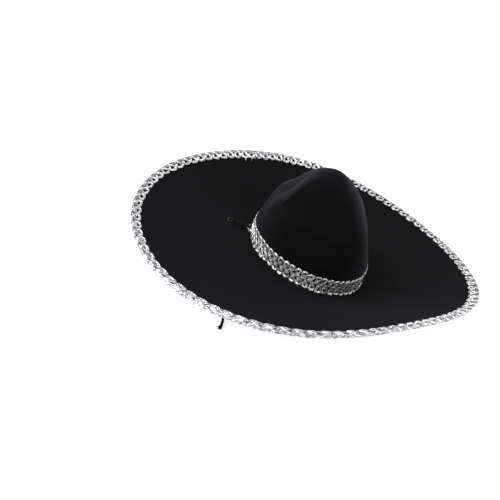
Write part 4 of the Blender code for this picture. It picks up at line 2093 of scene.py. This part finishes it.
# ---- carried-over CAD nodes ---------------------------------------------------------------
@dataclass
class CarriedNodes:
    """CAD nodes that stay as they are and only get their finish."""

    finishes: Wardrobe

    def dress(self, node: str, material: bpy.types.Material) -> None:
        """Puts a material on a CAD node.

        Args:
            node: Name of the node.
            material: Its finish.
        """
        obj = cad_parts[node]
        obj.data.materials.clear()
        obj.data.materials.append(material)
        log.info("%s keeps its CAD mesh in %s", node, material.name)

    def build(self) -> None:
        """Dresses the board and the slider."""
        self.dress("brim_board", self.finishes.board)
        self.dress("cord_slider", self.finishes.plastic)


# ---- studio -------------------------------------------------------------------------------
@dataclass
class Studio:
    """Pale floor, soft light and the camera."""

    lens: float = 42.18

    def floor(self) -> None:
        """A wide pale floor."""
        mesh = bpy.data.meshes.new("floor")
        span = 12.0
        mesh.from_pydata([(-span, -span, 0), (span, -span, 0), (span, span, 0),
                          (-span, span, 0)], [], [(0, 1, 2, 3)])
        obj = bpy.data.objects.new("floor", mesh)
        bpy.context.scene.collection.objects.link(obj)
        material = bpy.data.materials.new("floor_paper")
        material.use_nodes = True
        shader = material.node_tree.nodes["Principled BSDF"]
        shader.inputs["Base Color"].default_value = (0.92, 0.92, 0.92, 1.0)
        shader.inputs["Roughness"].default_value = 0.9
        shader.inputs["Specular IOR Level"].default_value = 0.1
        shader.inputs["Emission Color"].default_value = (1.0, 1.0, 1.0, 1.0)
        shader.inputs["Emission Strength"].default_value = 0.7
        mesh.materials.append(material)

    def light(self, name: str, spot: tuple[float, float, float], size: float,
              power: float) -> None:
        """A square soft box aimed at the hat.

        Args:
            name: Its name.
            spot: Where it hangs.
            size: Length of its side.
            power: Its power in watts.
        """
        data = bpy.data.lights.new(name, "AREA")
        data.shape = "SQUARE"
        data.size = size
        data.energy = power
        obj = bpy.data.objects.new(name, data)
        obj.location = spot
        obj.rotation_euler = (-Vector(spot)).to_track_quat("-Z", "Y").to_euler()
        bpy.context.scene.collection.objects.link(obj)

    def world(self) -> None:
        """Even white surroundings."""
        world = bpy.data.worlds.new("studio")
        world.use_nodes = True
        back = world.node_tree.nodes["Background"]
        back.inputs["Color"].default_value = (1.0, 1.0, 1.0, 1.0)
        back.inputs["Strength"].default_value = 1.0
        bpy.context.scene.world = world
        bpy.context.scene.view_settings.view_transform = "Standard"

    def camera(self) -> None:
        """The camera, rolled as the hat leans in its frame."""
        data = bpy.data.cameras.new("camera")
        data.lens = self.lens
        data.sensor_width = 36.0
        data.clip_start = 0.01
        obj = bpy.data.objects.new("camera", data)
        right = Vector((0.83717, -0.47320, 0.27429))
        up = Vector((0.06527, 0.58435, 0.80887))
        ahead = Vector((0.54304, 0.65925, -0.52009))
        turn = Matrix((right, up, -ahead)).transposed().to_4x4()
        obj.matrix_world = Matrix.Translation((-0.5696, -0.5597, 0.4602)) @ turn
        bpy.context.scene.collection.objects.link(obj)
        bpy.context.scene.camera = obj

    def build(self) -> None:
        """Sets up the studio."""
        self.floor()
        self.world()
        self.light("key_softbox", (-1.1, 0.6, 1.2), 0.8, 24.0)
        self.light("side_softbox", (-1.5, -0.1, 0.5), 0.7, 8.0)
        self.light("front_softbox", (0.9, -1.4, 0.7), 0.9, 8.0)
        self.light("fill_softbox", (1.2, -0.6, 1.4), 1.4, 6.0)
        self.camera()


def main() -> None:
    """Builds every piece in order."""
    logging.basicConfig(level=logging.INFO, format="%(name)s: %(message)s")
    form = HatForm()
    finishes = Wardrobe()
    left_spot = EyeletFrame(form, 137.0)
    right_spot = EyeletFrame(form, 43.0)
    Crown(form, finishes).build()
    Brim(form, finishes).build([left_spot, right_spot])
    RimGimp(form, finishes).build()
    CrownGimp(form, finishes).build()
    Sweatband(form, finishes).build()
    Eyelet(left_spot, Side.LEFT, finishes).build()
    Eyelet(right_spot, Side.RIGHT, finishes).build()
    left = Strand(Side.LEFT, left_spot, (
        (-0.0936, 0.0975, 0.0028), (-0.0962, 0.0983, 0.0021), (-0.1010, 0.0984, 0.0021),
        (-0.1120, 0.0960, 0.0021), (-0.1280, 0.0910, 0.0021), (-0.1440, 0.0845, 0.0021),
        (-0.1600, 0.0755, 0.0022), (-0.1740, 0.0650, 0.0025), (-0.1822, 0.0535, 0.0034),
        (-0.1843, 0.0430, 0.0039), (-0.1843, 0.0340, 0.0039), (-0.1843, 0.0000, 0.0039),
        (-0.1843, -0.0340, 0.0039), (-0.1843, -0.0430, 0.0039), (-0.1834, -0.0540, 0.0042),
        (-0.1810, -0.0640, 0.0048)), (-0.1792, -0.0690, 0.0050), (
        (-0.1776, -0.0745, 0.0046), (-0.1757, -0.0820, 0.0030), (-0.1735, -0.0890, 0.0022),
        (-0.1705, -0.0950, 0.0021)))
    right = Strand(Side.RIGHT, right_spot, (
        (0.0936, 0.0978, 0.0028), (0.0958, 0.1000, 0.0021), (0.0982, 0.1040, 0.0021),
        (0.0985, 0.1110, 0.0021), (0.0945, 0.1195, 0.0021), (0.0850, 0.1285, 0.0021),
        (0.0700, 0.1385, 0.0021), (0.0480, 0.1480, 0.0021), (0.0240, 0.1545, 0.0021),
        (0.0000, 0.1565, 0.0021), (-0.0300, 0.1555, 0.0021), (-0.0600, 0.1500, 0.0021),
        (-0.0900, 0.1400, 0.0021), (-0.1190, 0.1245, 0.0021), (-0.1460, 0.1045, 0.0021),
        (-0.1680, 0.0830, 0.0022), (-0.1830, 0.0630, 0.0030), (-0.1888, 0.0500, 0.0037),
        (-0.1895, 0.0400, 0.0039), (-0.1895, 0.0340, 0.0039), (-0.1895, 0.0000, 0.0039),
        (-0.1895, -0.0340, 0.0039), (-0.1895, -0.0430, 0.0039), (-0.1903, -0.0560, 0.0042),
        (-0.1926, -0.0690, 0.0048)), (-0.1942, -0.0742, 0.0050), (
        (-0.1958, -0.0795, 0.0046), (-0.1985, -0.0890, 0.0030), (-0.2020, -0.1010, 0.0022),
        (-0.2070, -0.1125, 0.0021), (-0.2125, -0.1205, 0.0021), (-0.2187, -0.1273, 0.0021)))
    ChinCord(form, finishes, left, right).build()
    CarriedNodes(finishes).build()
    Studio().build()


if __name__ == "__main__":
    main()
